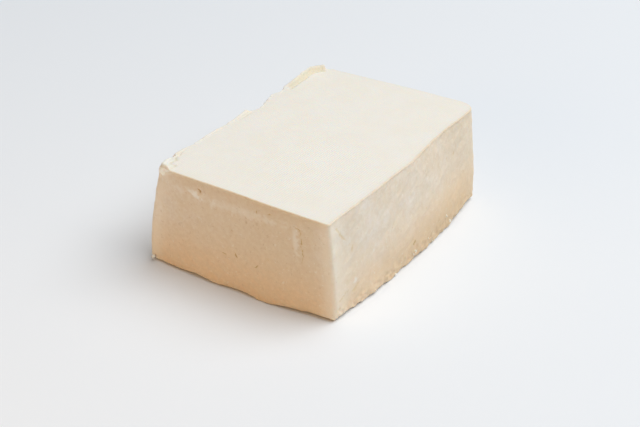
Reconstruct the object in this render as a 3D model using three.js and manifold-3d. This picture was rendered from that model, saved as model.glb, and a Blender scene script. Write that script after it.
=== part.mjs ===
// A block of firm cotton tofu, turned out of its pack and standing on its wide face.
//
// Frame: millimetres, +Z up. +X runs along the length and +Y across it. The origin is the middle of
// the bounding box, on the flat base.
//
// The skin of the block is a grid of columns and rows. A column is one place on the outline, walked
// anticlockwise from above. The rows of a column climb from the middle of the base to its lower edge,
// up the side, over the rim, and in to the middle of the top. Pores and cracks are then cut into it.
import * as THREE from "three";
import { ImprovedNoise } from "three/addons/math/ImprovedNoise.js";
import { mergeVertices } from "three/addons/utils/BufferGeometryUtils.js";
import Module from "manifold-3d";

// --- driving dimensions ---------------------------------------------------------------------------

const HEIGHT = 41.3; // top face above the base, without the torn skin
const HALF_LENGTH = 56; // of the top face, along X
const HALF_WIDTH = 38; // of the top face, along Y
const LEAN_POWER = 1.6; // the sides stand steep low down and lean in more near the rim

// Corners in the order they are met, from the one at -X -Y: where the sides would meet if they were
// sharp, and how far they are rounded, at the foot and at the rim.
const CORNERS = [
  { foot: [-54.7, -40.9], rim: [-56.5, -39.1], footRadius: 3.4, rimRadius: 1.8, steps: 6 },
  { foot: [56.8, -40.9], rim: [56.6, -38.1], footRadius: 6.5, rimRadius: 7, steps: 7 },
  { foot: [56.4, 42.4], rim: [55.4, 36.4], footRadius: 9, rimRadius: 10, steps: 11 },
  { foot: [-55, 43.6], rim: [-54.2, 37.5], footRadius: 3.6, rimRadius: 4, steps: 7 },
];

// Sides in the order they are met. Each line holds values at evenly spaced stations along its side:
// how far the side stands out of straight at the foot and at the rim, and the radius of its lower edge.
const LONG_CUT_FACE = {
  steps: 42, edgeRadius: 0.4, ledge: 0.22, drag: 0.3, crumble: 0.75,
  footBow: stationLine([0, 1.8, 2.6, 2.8, 1.8, 0]), rimBow: stationLine([0, 0.8, 1.35, 1.1, -0.2, 0]),
  lowerEdge: stationLine([2.4, 1.6, 2, 1.3, 2.2, 1.5, 1.9, 2.4, 3]),
};
const FAR_FACE = {
  steps: 22, edgeRadius: 1.6, ledge: 0, drag: 0.1, crumble: 0.4,
  footBow: stationLine([0, 0.5, 0.5, 0]), rimBow: stationLine([0, 0.6, 0.25, 0]),
  lowerEdge: stationLine([2, 2.8, 2, 2.6, 2.4]),
};
const TORN_FACE = {
  steps: 60, edgeRadius: 1, ledge: 0, drag: 0.2, crumble: 0.5,
  footBow: stationLine([0, 0.2, 0.5, 0.3, 0.1, 0]), rimBow: stationLine([0, 0.5, 0.3, -0.7, 0.7, 0]),
  lowerEdge: stationLine([2.6, 3.2, 2.5, 3.3, 2.8, 3.2, 2.4]),
};
const SHORT_CUT_FACE = {
  steps: 34, edgeRadius: 0.4, ledge: 0.3, drag: 0.05, crumble: 0.25,
  footBow: stationLine([0, 1.3, 1.9, 1.6, 0]), rimBow: stationLine([0, 0, 0.1, 0]),
  lowerEdge: stationLine([2.4, 2, 3.3, 1.7, 3, 0.9, 2.2, 3.2, 2.6]),
};
const SIDES = [LONG_CUT_FACE, FAR_FACE, TORN_FACE, SHORT_CUT_FACE];
const LONG_FACE_INDEX = SIDES.indexOf(LONG_CUT_FACE);
const SHORT_FACE_INDEX = SIDES.indexOf(SHORT_CUT_FACE);

// Rows: how far in each ring of the base and the top lies, and how many steps the rest takes.
const BASE_INSETS = [23, 9];
const BASE_MIDDLE = new THREE.Vector2(5, 3);
const LOWER_EDGE_STEPS = 4;
const SIDE_STEPS = 6;
const TOP_INSETS = [6, 13, 24];
const TOP_MIDDLE = new THREE.Vector2(0, 0);
const CROWN = 0.3; // the middle of the top stands this much higher than its edge
const SKIN = 1.1; // thickness of the pressed skin, which stands proud of the cut faces

// Scraps of the pressed skin that were torn up along the +Y edge. Each has its heights at even steps
// from its tail, where it leaves the top face, to its tip, where it ends abruptly. Places are along X.
const SCRAPS = [
  { tail: -46.6, tip: -56.6, heights: stationLine([0.1, 0.9, 0.8, 0.35, 0.2]), width: 3.9 },
  { tail: -30, tip: -45.6, heights: stationLine([0, 0.1, 0.3, 0.65]), width: 2 },
  { tail: -26.5, tip: -13, heights: stationLine([0, 0.35, 0.35, 0.15]), width: 1.7 },
  { tail: -11, tip: 2, heights: stationLine([0, 0.3, 0.5, 0.85]), width: 3.5 },
  { tail: 27, tip: 53.4, heights: stationLine([0, 0.35, 1.3, 2.2, 2.05, 2.4]), width: 5.1 },
];
// Its section, from outside to inside: how far in as a share of its width, and the share of its height.
const CURL = [[0, 0.35], [0.1, 0.95], [0.28, 1], [0.5, 0.4], [1, 0]];
const FULL_CURL_HEIGHT = 0.7; // a scrap this high or higher has the whole curl in place of a round edge
const TIP_LENGTH = 0.8; // length over which a tip falls back to the top face
const TEARS = { size: 2.3, height: 0.25, share: 0.1, width: 2 }; // small tears between the scraps

// Pieces gone from the +Y rim, from start to end along X, and how far back the rim is broken.
const CHIPS = [
  { start: -62, deepest: -57, end: -50.5, depth: 2.4 },
  { start: 1.2, deepest: 6.4, end: 20.4, depth: 3.5 },
  { start: 21, deepest: 23.6, end: 30, depth: 2.2 },
];
const CHIP_POWER = 0.85; // how squarely a chip reaches its depth
const CHIP_HEIGHT = 11; // how far down the side a chip reaches
const CHIP_WIDTH = 9; // how far in over the top it reaches
const TORN_EDGE = { from: 30, to: 36 }; // along Y, where the torn edge fades in round the corners

// Unevenness: the size of its bumps and their height.
const DENTS = { size: [17, 17, 13], height: 0.35 };
const DRAG_MARKS = { size: [11, 9, 3.2], slope: 25 }; // as high as each side's drag
const CRUMBLE_SIZE = 3.6;
const TOP_WAVES = { size: 19, height: 0.2 };
const SMALLEST_LOWER_EDGE = 0.5;

// Cracks in the short cut face, as runs of (y, z), and pores in both cut faces. The place of a pore is
// (y, z) on the short face and (x, z) on the long one, and its tilt turns its length from level.
const CRACK = [[-23.9, 36.1], [-26.8, 34.9], [-27.3, 31.6], [-27.4, 27.8], [-28.1, 25.9], [-27.4, 21.9]];
const CRACK_WIDTH = 0.5;
const CRACK_DEPTH = 0.9;
const SHORT_FACE_PORES = [
  { at: [18, 37.1], length: 2, width: 1.1, depth: 0.9, tilt: 36 },
  { at: [-8.6, 37], length: 1.4, width: 0.8, depth: 0.6, tilt: 80 },
  { at: [-14.3, 37.6], length: 1.5, width: 0.8, depth: 0.6, tilt: 10 },
  { at: [6.1, 15], length: 2.8, width: 0.7, depth: 0.6, tilt: 13 },
  { at: [0.7, 16.1], length: 2.6, width: 0.8, depth: 0.7, tilt: 62 },
  { at: [-13.5, 18.8], length: 2, width: 0.7, depth: 0.6, tilt: 40 },
  { at: [-8.4, 14.3], length: 2.8, width: 0.7, depth: 0.7, tilt: -39 },
  { at: [-18.4, 8.8], length: 1.8, width: 0.7, depth: 0.6, tilt: 22 },
  { at: [-24.1, 26.9], length: 1.2, width: 0.8, depth: 0.6, tilt: 80 },
  { at: [12.6, 19.7], length: 1.2, width: 0.8, depth: 0.5, tilt: 0 },
];
const LONG_FACE_PORES = [
  { at: [-49.1, 34.3], length: 8.6, width: 0.9, depth: 0.6, tilt: -52 },
  { at: [-41.8, 25.5], length: 2.2, width: 1, depth: 0.6, tilt: 60 },
  { at: [7.6, 18.4], length: 2.4, width: 1, depth: 0.7, tilt: 50 },
  { at: [-3.1, 8.4], length: 2, width: 0.9, depth: 0.6, tilt: 40 },
  { at: [28.7, 29.4], length: 2, width: 0.9, depth: 0.6, tilt: 60 },
  { at: [37.3, 28.1], length: 3, width: 0.9, depth: 0.6, tilt: 60 },
];

// --- outline --------------------------------------------------------------------------------------

const noise = new ImprovedNoise();
const { clamp, lerp, smoothstep, degToRad } = THREE.MathUtils;

/** A smooth line through values at evenly spaced stations. */
function stationLine(stations) {
  return new THREE.SplineCurve(stations.map((value, i) => new THREE.Vector2(i, value)));
}

/** The columns of the grid, each on a corner or on the side that follows it. */
function makeColumns() {
  const columns = [];
  CORNERS.forEach((corner, index) => {
    for (let step = 0; step < corner.steps; step++) {
      columns.push({ index, onCorner: true, t: step / corner.steps });
    }
    for (let step = 0; step < SIDES[index].steps; step++) {
      columns.push({ index, onCorner: false, t: step / SIDES[index].steps });
    }
  });
  return columns;
}

/** A trait of the side that a column is on, which changes over smoothly round a corner. */
function traitOf(column, name) {
  const here = SIDES[column.index][name];
  if (!column.onCorner) return here;
  const before = SIDES[(column.index + 3) % 4][name];
  return lerp(before, here, smoothstep(column.t, 0, 1));
}

/** A trait that a side gives along a line, which changes over smoothly round a corner. */
function lineTraitOf(column, name) {
  const here = SIDES[column.index][name];
  if (!column.onCorner) return here.getPoint(column.t).y;
  const before = SIDES[(column.index + 3) % 4][name];
  return lerp(before.getPoint(1).y, here.getPoint(0).y, smoothstep(column.t, 0, 1));
}

/** Where the round of a corner is centred, and its radius, at a level from 0, foot, to 1, rim. */
function cornerRound(index, level) {
  const { foot, rim, footRadius, rimRadius } = CORNERS[index];
  const radius = lerp(footRadius, rimRadius, level);
  const x = lerp(foot[0], rim[0], level);
  const y = lerp(foot[1], rim[1], level);
  return { radius, centre: new THREE.Vector2(x - Math.sign(x) * radius, y - Math.sign(y) * radius) };
}

/** The point of a rounded corner at a turn from 0, where it begins, to 1, where it ends. */
function onCorner(index, turn, level) {
  const { radius, centre } = cornerRound(index, level);
  const angle = Math.PI + (index + turn) * (Math.PI / 2);
  return new THREE.Vector2(Math.cos(angle), Math.sin(angle)).multiplyScalar(radius).add(centre);
}

/** The outline of the block at a column and a level. */
function outlinePoint(column, level) {
  const point = onCorner(column.index, column.onCorner ? column.t : 1, level);
  if (!column.onCorner) {
    const side = SIDES[column.index];
    const bow = lerp(side.footBow.getPoint(column.t).y, side.rimBow.getPoint(column.t).y, level);
    const outwards = (column.index - 1) * (Math.PI / 2);
    point.lerp(onCorner((column.index + 1) % 4, 0, level), column.t);
    point.add(new THREE.Vector2(Math.cos(outwards), Math.sin(outwards)).multiplyScalar(bow));
  }
  return point;
}

/** The point moved in towards the middle by an inset, which never folds at a corner. */
function movedIn(point, inset) {
  return new THREE.Vector2(point.x * (1 - inset / HALF_LENGTH), point.y * (1 - inset / HALF_WIDTH));
}

// --- relief ---------------------------------------------------------------------------------------

/** How far the side stands out of true: broad dents, and drag marks that slant up the side. */
function sideRelief(column, point, z) {
  const [dentX, dentY, dentZ] = DENTS.size;
  const dents = DENTS.height * noise.noise(point.x / dentX, point.y / dentY, z / dentZ);
  const level = -degToRad(DRAG_MARKS.slope);
  const slanted = new THREE.Vector2(point.x, z).rotateAround(new THREE.Vector2(), level);
  const [alongMark, depthMark, acrossMark] = DRAG_MARKS.size;
  const marks = noise.noise(slanted.x / alongMark, slanted.y / acrossMark, point.y / depthMark + 4.3);
  return dents + traitOf(column, "drag") * marks;
}

/** Radius of the lower edge, which is scalloped and crumbled. */
function lowerRadius(column, point) {
  const crumbs = noise.noise(point.x / CRUMBLE_SIZE, point.y / CRUMBLE_SIZE, 7.7);
  const radius = lineTraitOf(column, "lowerEdge") + traitOf(column, "crumble") * crumbs;
  return Math.max(radius, SMALLEST_LOWER_EDGE);
}

/** How much a point of the rim belongs to the torn edge, from 0 to 1. */
function onTornEdge(point) {
  return smoothstep(point.y, TORN_EDGE.from, TORN_EDGE.to);
}

/** Height and width of the torn skin where it passes a point of the rim. */
function tornSkin(point) {
  const tears = Math.max(0, noise.noise(point.x / TEARS.size, 3.1, 0.5) + TEARS.share);
  const torn = { height: TEARS.height * tears, width: TEARS.width };
  for (const scrap of SCRAPS) {
    const grown = (point.x - scrap.tail) / (scrap.tip - scrap.tail);
    const beyondTip = (point.x - scrap.tip) * Math.sign(scrap.tip - scrap.tail);
    if (grown <= 0 || beyondTip >= TIP_LENGTH) continue;
    const fall = 1 - clamp(beyondTip / TIP_LENGTH, 0, 1) ** 2;
    const height = fall * scrap.heights.getPoint(Math.min(1, grown)).y;
    if (height > torn.height) Object.assign(torn, { height, width: scrap.width });
  }
  torn.height *= onTornEdge(point);
  return torn;
}

/** How far the rim is broken back at a point of it. */
function brokenBack(point) {
  let depth = 0;
  for (const chip of CHIPS) {
    const before = (point.x - chip.start) / (chip.deepest - chip.start);
    const after = (chip.end - point.x) / (chip.end - chip.deepest);
    depth = Math.max(depth, chip.depth * clamp(Math.min(before, after), 0, 1) ** CHIP_POWER);
  }
  return depth * onTornEdge(point);
}

/** Height of the top face over its edge. */
function topRelief(point) {
  const dome = (1 - (point.x / HALF_LENGTH) ** 2) * (1 - (point.y / HALF_WIDTH) ** 2);
  const waves = noise.noise(point.x / TOP_WAVES.size, point.y / TOP_WAVES.size, 5.5);
  return CROWN * Math.max(0, dome) + TOP_WAVES.height * waves;
}

// --- rows of one column ---------------------------------------------------------------------------

/** The rim of a column, as steps of (inset, height over the top face) from the side to the top. */
function rimSection(column, point) {
  const radius = traitOf(column, "edgeRadius");
  const torn = tornSkin(point);
  const lifted = smoothstep(torn.height, 0, FULL_CURL_HEIGHT);
  const section = [[traitOf(column, "ledge") * (1 - lifted), -radius - SKIN]];
  for (let step = 0; step < CURL.length; step++) {
    const angle = (step / (CURL.length - 1)) * (Math.PI / 2);
    const roundInset = radius * (1 - Math.cos(angle));
    const roundHeight = radius * (Math.sin(angle) - 1);
    const [curlInset, curlHeight] = CURL[step];
    section.push([
      lerp(roundInset, curlInset * torn.width, lifted),
      lerp(roundHeight, curlHeight * torn.height, lifted),
    ]);
  }
  return section;
}

/** The side of the block at a column and a height, or the top where that is moved in by an inset. */
function sidePoint(column, z, inset = 0) {
  const point = outlinePoint(column, clamp(z / HEIGHT, 0, 1) ** LEAN_POWER);
  const upShare = smoothstep(z, HEIGHT - CHIP_HEIGHT, HEIGHT - SKIN);
  const inShare = 1 - smoothstep(inset, 0, CHIP_WIDTH);
  const chipped = brokenBack(outlinePoint(column, 1)) * upShare * inShare;
  return movedIn(point, inset + chipped - sideRelief(column, point, z));
}

/** All points of a column, from the middle of the base to the middle of the top. */
function columnPoints(column) {
  const points = [];
  const place = (point, z) => points.push(new THREE.Vector3(point.x, point.y, z));
  const foot = sidePoint(column, 0);
  const rim = outlinePoint(column, 1);
  const radius = lowerRadius(column, foot);
  const section = rimSection(column, rim);

  place(BASE_MIDDLE, 0);
  for (const inset of BASE_INSETS) place(movedIn(foot, inset), 0);
  for (let step = 0; step <= LOWER_EDGE_STEPS; step++) {
    const angle = (step / LOWER_EDGE_STEPS) * (Math.PI / 2);
    const z = radius * (1 - Math.cos(angle));
    place(sidePoint(column, z, radius * (1 - Math.sin(angle))), z);
  }
  const underSkin = HEIGHT + section[0][1];
  for (let step = 1; step < SIDE_STEPS; step++) {
    const z = lerp(radius, underSkin, step / SIDE_STEPS);
    place(sidePoint(column, z, section[0][0]), z);
  }
  for (const [inset, height] of section) {
    const z = HEIGHT + height;
    place(sidePoint(column, z, inset), z);
  }
  for (const inset of TOP_INSETS) {
    const point = sidePoint(column, HEIGHT, inset);
    place(point, HEIGHT + topRelief(point));
  }
  place(TOP_MIDDLE, HEIGHT + topRelief(TOP_MIDDLE));
  return points;
}

// --- solids ---------------------------------------------------------------------------------------

const wasm = await Module();
wasm.setup();

/** A closed three.js geometry as a manifold solid, its shared points merged and slivers dropped. */
function toSolid(geometry) {
  geometry.deleteAttribute("normal");
  geometry.deleteAttribute("uv");
  const merged = mergeVertices(geometry, 1e-4);
  const corners = merged.index.array;
  const kept = [];
  for (let i = 0; i < corners.length; i += 3) {
    const [a, b, c] = corners.slice(i, i + 3);
    if (a !== b && b !== c && c !== a) kept.push(a, b, c);
  }
  const vertProperties = Float32Array.from(merged.attributes.position.array);
  return new wasm.Manifold(new wasm.Mesh({ numProp: 3, vertProperties, triVerts: Uint32Array.from(kept) }));
}

/** A manifold solid as a three.js geometry. */
function toGeometry(solid) {
  const mesh = solid.getMesh();
  const geometry = new THREE.BufferGeometry();
  geometry.setAttribute("position", new THREE.BufferAttribute(mesh.vertProperties, 3));
  geometry.setIndex(new THREE.BufferAttribute(mesh.triVerts, 1));
  geometry.computeVertexNormals();
  return geometry;
}

/** The uncut block: a lathe's grid of columns and rows, set out on the block's own surface. */
function makeBlock() {
  const columns = makeColumns().map(columnPoints);
  const rowCount = columns[0].length;
  const profile = [];
  for (let row = 0; row < rowCount; row++) profile.push(new THREE.Vector2(1, row));
  const geometry = new THREE.LatheGeometry(profile, columns.length);
  const position = geometry.attributes.position;
  for (let i = 0; i < position.count; i++) {
    const column = Math.floor(i / rowCount) % columns.length;
    position.setXYZ(i, ...columns[column][i % rowCount]);
  }
  return toSolid(geometry);
}

/** A face that a crack or a pore is cut into: how its own axes lie, and where its surface is. */
const SHORT_FACE = new THREE.Matrix4().makeBasis(
  new THREE.Vector3(0, 1, 0), new THREE.Vector3(0, 0, 1), new THREE.Vector3(1, 0, 0),
);
const LONG_FACE = new THREE.Matrix4().makeBasis(
  new THREE.Vector3(1, 0, 0), new THREE.Vector3(0, 0, 1), new THREE.Vector3(0, -1, 0),
);

/** The surface of the block under a place on one of its two cut faces. */
function surfaceAt(columns, sideIndex, [along, z]) {
  const axis = sideIndex === LONG_FACE_INDEX ? "x" : "y";
  const onSide = columns.filter((column) => column.index === sideIndex && !column.onCorner);
  const points = onSide.map((column) => sidePoint(column, z));
  const nearest = points.reduce((a, b) => (Math.abs(b[axis] - along) < Math.abs(a[axis] - along) ? b : a));
  if (sideIndex === LONG_FACE_INDEX) return new THREE.Vector3(along, nearest.y, z);
  return new THREE.Vector3(nearest.x, along, z);
}

/** A pore: a long ball, half sunk in the face. */
function makePore(columns, sideIndex, pore) {
  const geometry = new THREE.SphereGeometry(1, 8, 6);
  geometry.scale(pore.length / 2, pore.width / 2, pore.depth);
  geometry.rotateZ(degToRad(pore.tilt));
  geometry.applyMatrix4(sideIndex === LONG_FACE_INDEX ? LONG_FACE : SHORT_FACE);
  const place = surfaceAt(columns, sideIndex, pore.at);
  geometry.translate(place.x, place.y, place.z);
  return toSolid(geometry);
}

/** A crack: a thin slot with pointed ends, along a smooth run over the short face. */
function makeCrack(columns, run) {
  const line = new THREE.SplineCurve(run.map(([y, z]) => new THREE.Vector2(y, z)));
  const stepCount = 14;
  const edges = [[], []];
  for (let step = 0; step <= stepCount; step++) {
    const t = step / stepCount;
    const across = line.getTangent(t).rotateAround(new THREE.Vector2(), Math.PI / 2);
    const halfWidth = (CRACK_WIDTH / 2) * Math.sin(Math.PI * t) ** 0.5;
    edges[0].push(line.getPoint(t).addScaledVector(across, halfWidth));
    edges[1].unshift(line.getPoint(t).addScaledVector(across, -halfWidth));
  }
  const outline = new THREE.Shape([...edges[0], ...edges[1].slice(1, -1)]);
  const geometry = new THREE.ExtrudeGeometry(outline, { depth: 2 * CRACK_DEPTH, bevelEnabled: false });
  geometry.applyMatrix4(SHORT_FACE);
  geometry.translate(surfaceAt(columns, SHORT_FACE_INDEX, run[2]).x - CRACK_DEPTH, 0, 0);
  return toSolid(geometry);
}

/** The tofu block, with its pores and its crack cut in. */
function makeTofuBlock() {
  const columns = makeColumns();
  let solid = makeBlock().subtract(makeCrack(columns, CRACK));
  for (const pore of SHORT_FACE_PORES) solid = solid.subtract(makePore(columns, SHORT_FACE_INDEX, pore));
  for (const pore of LONG_FACE_PORES) solid = solid.subtract(makePore(columns, LONG_FACE_INDEX, pore));
  const material = new THREE.MeshStandardMaterial({ color: 0xede3cf, roughness: 0.55, metalness: 0 });
  const mesh = new THREE.Mesh(toGeometry(solid), material);
  mesh.name = "tofu_block";
  return mesh;
}

const tofu = new THREE.Group();
tofu.add(makeTofuBlock());

export default tofu;
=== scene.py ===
"""A block of firm cotton tofu, dressed for rendering.

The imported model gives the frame: metres, +Z up, +X along the block and +Y towards the edge with the torn
skin. Lengths in this script are written in millimetres, and a mesh gets its metres when it is finished.
"""

import logging
import math
from collections.abc import Callable
from dataclasses import dataclass, field
from enum import Enum, IntEnum

import bmesh
import bpy
import numpy as np
from mathutils import Matrix, Vector
from mathutils.bvhtree import BVHTree


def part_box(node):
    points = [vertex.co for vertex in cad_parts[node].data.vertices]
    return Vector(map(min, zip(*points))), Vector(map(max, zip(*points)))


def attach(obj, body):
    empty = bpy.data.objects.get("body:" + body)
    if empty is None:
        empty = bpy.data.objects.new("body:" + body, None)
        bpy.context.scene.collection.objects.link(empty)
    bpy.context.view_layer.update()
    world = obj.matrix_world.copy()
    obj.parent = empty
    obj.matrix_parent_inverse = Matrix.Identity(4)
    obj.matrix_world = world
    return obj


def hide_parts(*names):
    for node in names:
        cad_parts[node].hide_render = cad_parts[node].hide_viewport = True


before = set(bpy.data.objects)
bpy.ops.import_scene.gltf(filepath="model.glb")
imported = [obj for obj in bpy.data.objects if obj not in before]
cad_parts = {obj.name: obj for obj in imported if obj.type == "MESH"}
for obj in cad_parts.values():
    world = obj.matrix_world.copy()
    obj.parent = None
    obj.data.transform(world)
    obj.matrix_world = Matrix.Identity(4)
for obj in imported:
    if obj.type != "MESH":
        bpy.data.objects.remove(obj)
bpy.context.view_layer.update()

log = logging.getLogger("tofu")

MM = 0.001
HAIR = 1e-6
NODE = "tofu_block"
BODY = "root"


# --- small shared maths -----------------------------------------------------------------------------


def blend(a: np.ndarray, b: np.ndarray, share: np.ndarray) -> np.ndarray:
    """The mix of a and b, where a share of 0 is a and 1 is b."""
    return a + (b - a) * share


def smoothstep(values: np.ndarray, low: float, high: float) -> np.ndarray:
    """A smooth rise from 0 at low to 1 at high."""
    t = np.clip((values - low) / (high - low), 0.0, 1.0)
    return t * t * (3.0 - 2.0 * t)


def along_stations(stations: tuple[float, ...], t: np.ndarray) -> np.ndarray:
    """Values of a smooth line through evenly spaced stations.

    Args:
        stations: the value at each station.
        t: where to read the line, from 0 at the first station to 1 at the last.

    Returns:
        The values of a Catmull-Rom line at t.
    """
    points = np.asarray(stations, float)
    last = len(points) - 1
    place = np.clip(t, 0.0, 1.0) * last
    start = np.minimum(place.astype(int), last - 1)
    u = place - start
    before = points[np.maximum(start - 1, 0)]
    here, there = points[start], points[start + 1]
    after = points[np.minimum(start + 2, last)]
    leave, arrive = (there - before) / 2, (after - here) / 2
    cubic = 2 * here - 2 * there + leave + arrive
    square = -3 * here + 3 * there - 2 * leave - arrive
    return ((cubic * u + square) * u + leave) * u + here


class Unevenness:
    """Smooth seeded noise in three dimensions, between -1 and 1."""

    SIZE = 32
    CELLS_PER_WAVE = 2.0
    GAIN = 1.4

    def __init__(self, seed: int) -> None:
        """Fills the lattice that the noise is read from."""
        self.lattice = np.random.default_rng(seed).uniform(-1.0, 1.0, (self.SIZE,) * 3)

    def at(self, points: np.ndarray, wavelength: float | tuple[float, float, float]) -> np.ndarray:
        """The noise at some points.

        Args:
            points: places in millimetres, one row each.
            wavelength: size of the bumps in millimetres, the same or one for each axis.

        Returns:
            One value for each point.
        """
        scaled = points / np.asarray(wavelength, float) * self.CELLS_PER_WAVE
        cell = np.floor(scaled).astype(int)
        part = scaled - cell
        part = part * part * (3.0 - 2.0 * part)
        total = np.zeros(len(points))
        for corner in np.ndindex(2, 2, 2):
            spot = (cell + corner) % self.SIZE
            weight = np.prod(np.where(corner, part, 1.0 - part), axis=1)
            total += weight * self.lattice[spot[:, 0], spot[:, 1], spot[:, 2]]
        return total * self.GAIN


BROAD, FINE = Unevenness(11), Unevenness(23)


def layered(points: np.ndarray,
            layers: tuple[tuple[float, float | tuple[float, float, float]], ...]) -> np.ndarray:
    """The sum of layers of fine noise.

    Args:
        points: places in millimetres, one row each.
        layers: the strength and wavelength of each layer.

    Returns:
        One value for each point.
    """
    return sum(strength * FINE.at(points, wavelength) for strength, wavelength in layers)


# --- the form of the block --------------------------------------------------------------------------


class Face(IntEnum):
    """The sides of the block in the order they are met, anticlockwise from the corner at -X -Y."""

    LONG_CUT = 0
    FAR = 1
    TORN = 2
    SHORT_CUT = 3

    @property
    def axis(self) -> int:
        """The axis that the side runs along, 0 for X and 1 for Y."""
        return 0 if self in (Face.LONG_CUT, Face.TORN) else 1


@dataclass(frozen=True)
class Corner:
    """A corner of the outline: where its sides would meet, and its radius, at the foot and the rim.

    How strongly its upright edge is lightened by a painted pale glow, from 0 to 1.
    """

    foot: tuple[float, float]
    rim: tuple[float, float]
    foot_radius: float
    rim_radius: float
    worn: float


@dataclass(frozen=True)
class Side:
    """A side of the block. The tuples hold values at evenly spaced stations along it.

    The bows are how far the outline swells at the foot and the rim. The lower edge is its radius, and
    crumble is how uneven that is. The edge radius is that of the upper edge, and the ledge is how far the
    skin stands proud of the side. Drag is how much the knife marked it. The rim band is how far down the
    painted shade under the rim goes, and the edge glow width how far in from its ends a painted pale glow
    reaches. Three tints paint light on the flesh: warm bounce light over all of it, orange bounce light on
    the part near the foot, and shade on the foot itself.
    """

    foot_bow: tuple[float, ...]
    rim_bow: tuple[float, ...]
    lower_edge: tuple[float, ...]
    crumble: float
    edge_radius: float
    ledge: float
    drag: float
    rim_band: float
    warmth: tuple[float, ...]
    soaked: tuple[float, ...] = (0.75, 0.75)
    dusk: tuple[float, ...] = (0.0, 0.0)
    edge_glow_width: float = 7.0


@dataclass(frozen=True)
class Scrap:
    """A scrap of skin torn up along the +Y rim, measured at even stations from its tail to its tip."""

    tail: float
    tip: float
    heights: tuple[float, ...]
    widths: tuple[float, ...]
    fold: float


@dataclass(frozen=True)
class Chip:
    """A piece gone from the +Y rim, from start to end along X and deepest in between."""

    start: float
    deepest: float
    end: float
    depth: float


@dataclass(frozen=True)
class Oval:
    """A tilted oval on a side. Its place is along the side and up, and its tilt is from level."""

    at: tuple[float, float]
    length: float
    width: float
    tilt: float

    def distance(self, spots: np.ndarray, margin: float = 0.0) -> np.ndarray:
        """How far spots are from the middle.

        Args:
            spots: places on the side, one row each.
            margin: how much wider than the oval the edge is taken.

        Returns:
            The distances, where 1 is the edge.
        """
        turn = math.radians(self.tilt)
        dx, dy = spots[:, 0] - self.at[0], spots[:, 1] - self.at[1]
        along = dx * math.cos(turn) + dy * math.sin(turn)
        across = dy * math.cos(turn) - dx * math.sin(turn)
        return np.hypot(along / (self.length / 2 + margin), across / (self.width / 2 + margin))


@dataclass(frozen=True)
class Pore(Oval):
    """A long pit in a side, so deep, and darkened so much by painted shade."""

    depth: float
    tone: float


@dataclass(frozen=True)
class Smear(Oval):
    """A pale flake smeared over a side by the knife."""

    strength: float


@dataclass(frozen=True)
class Crack:
    """A crack in a side, through places along the side and up."""

    run: tuple[tuple[float, float], ...]
    width: float
    depth: float
    # How much painted shade darkens the crack.
    tone: float

    def distance(self, spots: np.ndarray) -> tuple[np.ndarray, np.ndarray]:
        """How far spots are from a smooth line through the run.

        Args:
            spots: places on the side, one row each.

        Returns:
            The distances, and the share of the run that is passed where it is nearest.
        """
        steps = np.linspace(0, 1, 8 * len(self.run))
        line = np.column_stack([along_stations([p[axis] for p in self.run], steps) for axis in (0, 1)])
        away = np.full(len(spots), np.inf)
        share = np.zeros(len(spots))
        for i, (start, end) in enumerate(zip(line[:-1], line[1:])):
            step = end - start
            t = np.clip((spots - start) @ step / (step @ step), 0, 1)
            distance = np.linalg.norm(spots - start - t[:, None] * step, axis=1)
            nearer = distance < away
            away = np.where(nearer, distance, away)
            share = np.where(nearer, (i + t) / (len(line) - 1), share)
        return away, share


# Each corner's last number is how strongly a painted pale glow lightens its upright edge.
CORNERS = (
    Corner(foot=(-54.7, -40.9), rim=(-56.5, -39.1), foot_radius=2.0, rim_radius=1.4, worn=1.0),
    Corner(foot=(56.8, -40.9), rim=(56.6, -38.1), foot_radius=6.5, rim_radius=7.0, worn=0.4),
    Corner(foot=(56.4, 42.4), rim=(55.4, 36.4), foot_radius=9.0, rim_radius=10.0, worn=0.25),
    Corner(foot=(-55.0, 43.6), rim=(-54.2, 37.5), foot_radius=3.6, rim_radius=2.7, worn=1.0),
)

# Stations along each side paint warm bounce light over the flesh, orange bounce light near its foot and shade
# at the foot; the rim band and the edge glow width bound painted shade under the rim and a painted pale glow
# by the upright edges.
SIDES = {
    Face.LONG_CUT: Side(
        foot_bow=(0, 1.8, 2.6, 2.8, 1.8, 0), rim_bow=(0, 0.8, 1.35, 1.1, -0.2, 0),
        lower_edge=(2.4, 1.6, 2.0, 1.3, 2.2, 1.5, 1.9, 2.4, 3.6), crumble=0.75,
        edge_radius=0.4, ledge=0.14, drag=1.0, rim_band=0.8,
        warmth=(0, 0, 0.08, 0.14, 0.32, 0.5, 0.7), soaked=(0.6, 0.7, 0.85, 0.95, 0.95),
        dusk=(0.0, 0.3, 0.6, 0.85, 0.6), edge_glow_width=11.0,
    ),
    Face.FAR: Side(
        foot_bow=(0, 0.5, 0.5, 0), rim_bow=(0, 0.6, 0.25, 0),
        lower_edge=(4.8, 2.8, 2.0, 2.6, 2.4), crumble=0.4,
        edge_radius=1.6, ledge=0.0, drag=0.35, rim_band=2.0, warmth=(0.4, 0.2, 0.2, 0.3),
    ),
    Face.TORN: Side(
        foot_bow=(0, 0.2, 0.5, 0.3, 0.1, 0), rim_bow=(0, 0.5, 0.3, -0.7, 0.7, 0),
        lower_edge=(2.6, 3.2, 2.5, 3.3, 2.8, 3.2, 2.4), crumble=0.5,
        edge_radius=1.0, ledge=0.0, drag=0.65, rim_band=2.0, warmth=(0.3, 0.3),
    ),
    Face.SHORT_CUT: Side(
        foot_bow=(0, 1.3, 1.9, 1.6, 0), rim_bow=(0, 0, 0.1, 0),
        lower_edge=(2.4, 2.0, 3.3, 1.7, 3.0, 0.9, 2.2, 3.2, 2.6), crumble=0.25,
        edge_radius=0.4, ledge=0.3, drag=0.2, rim_band=4.8,
        warmth=(0.0, 0.4, 0.56, 0.65, 0.77, 0.87, 1.0, 1.0, 1.0, 0.4),
        soaked=(0.85, 0.85, 0.83, 0.8, 0.85), edge_glow_width=5.5,
    ),
}

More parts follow.
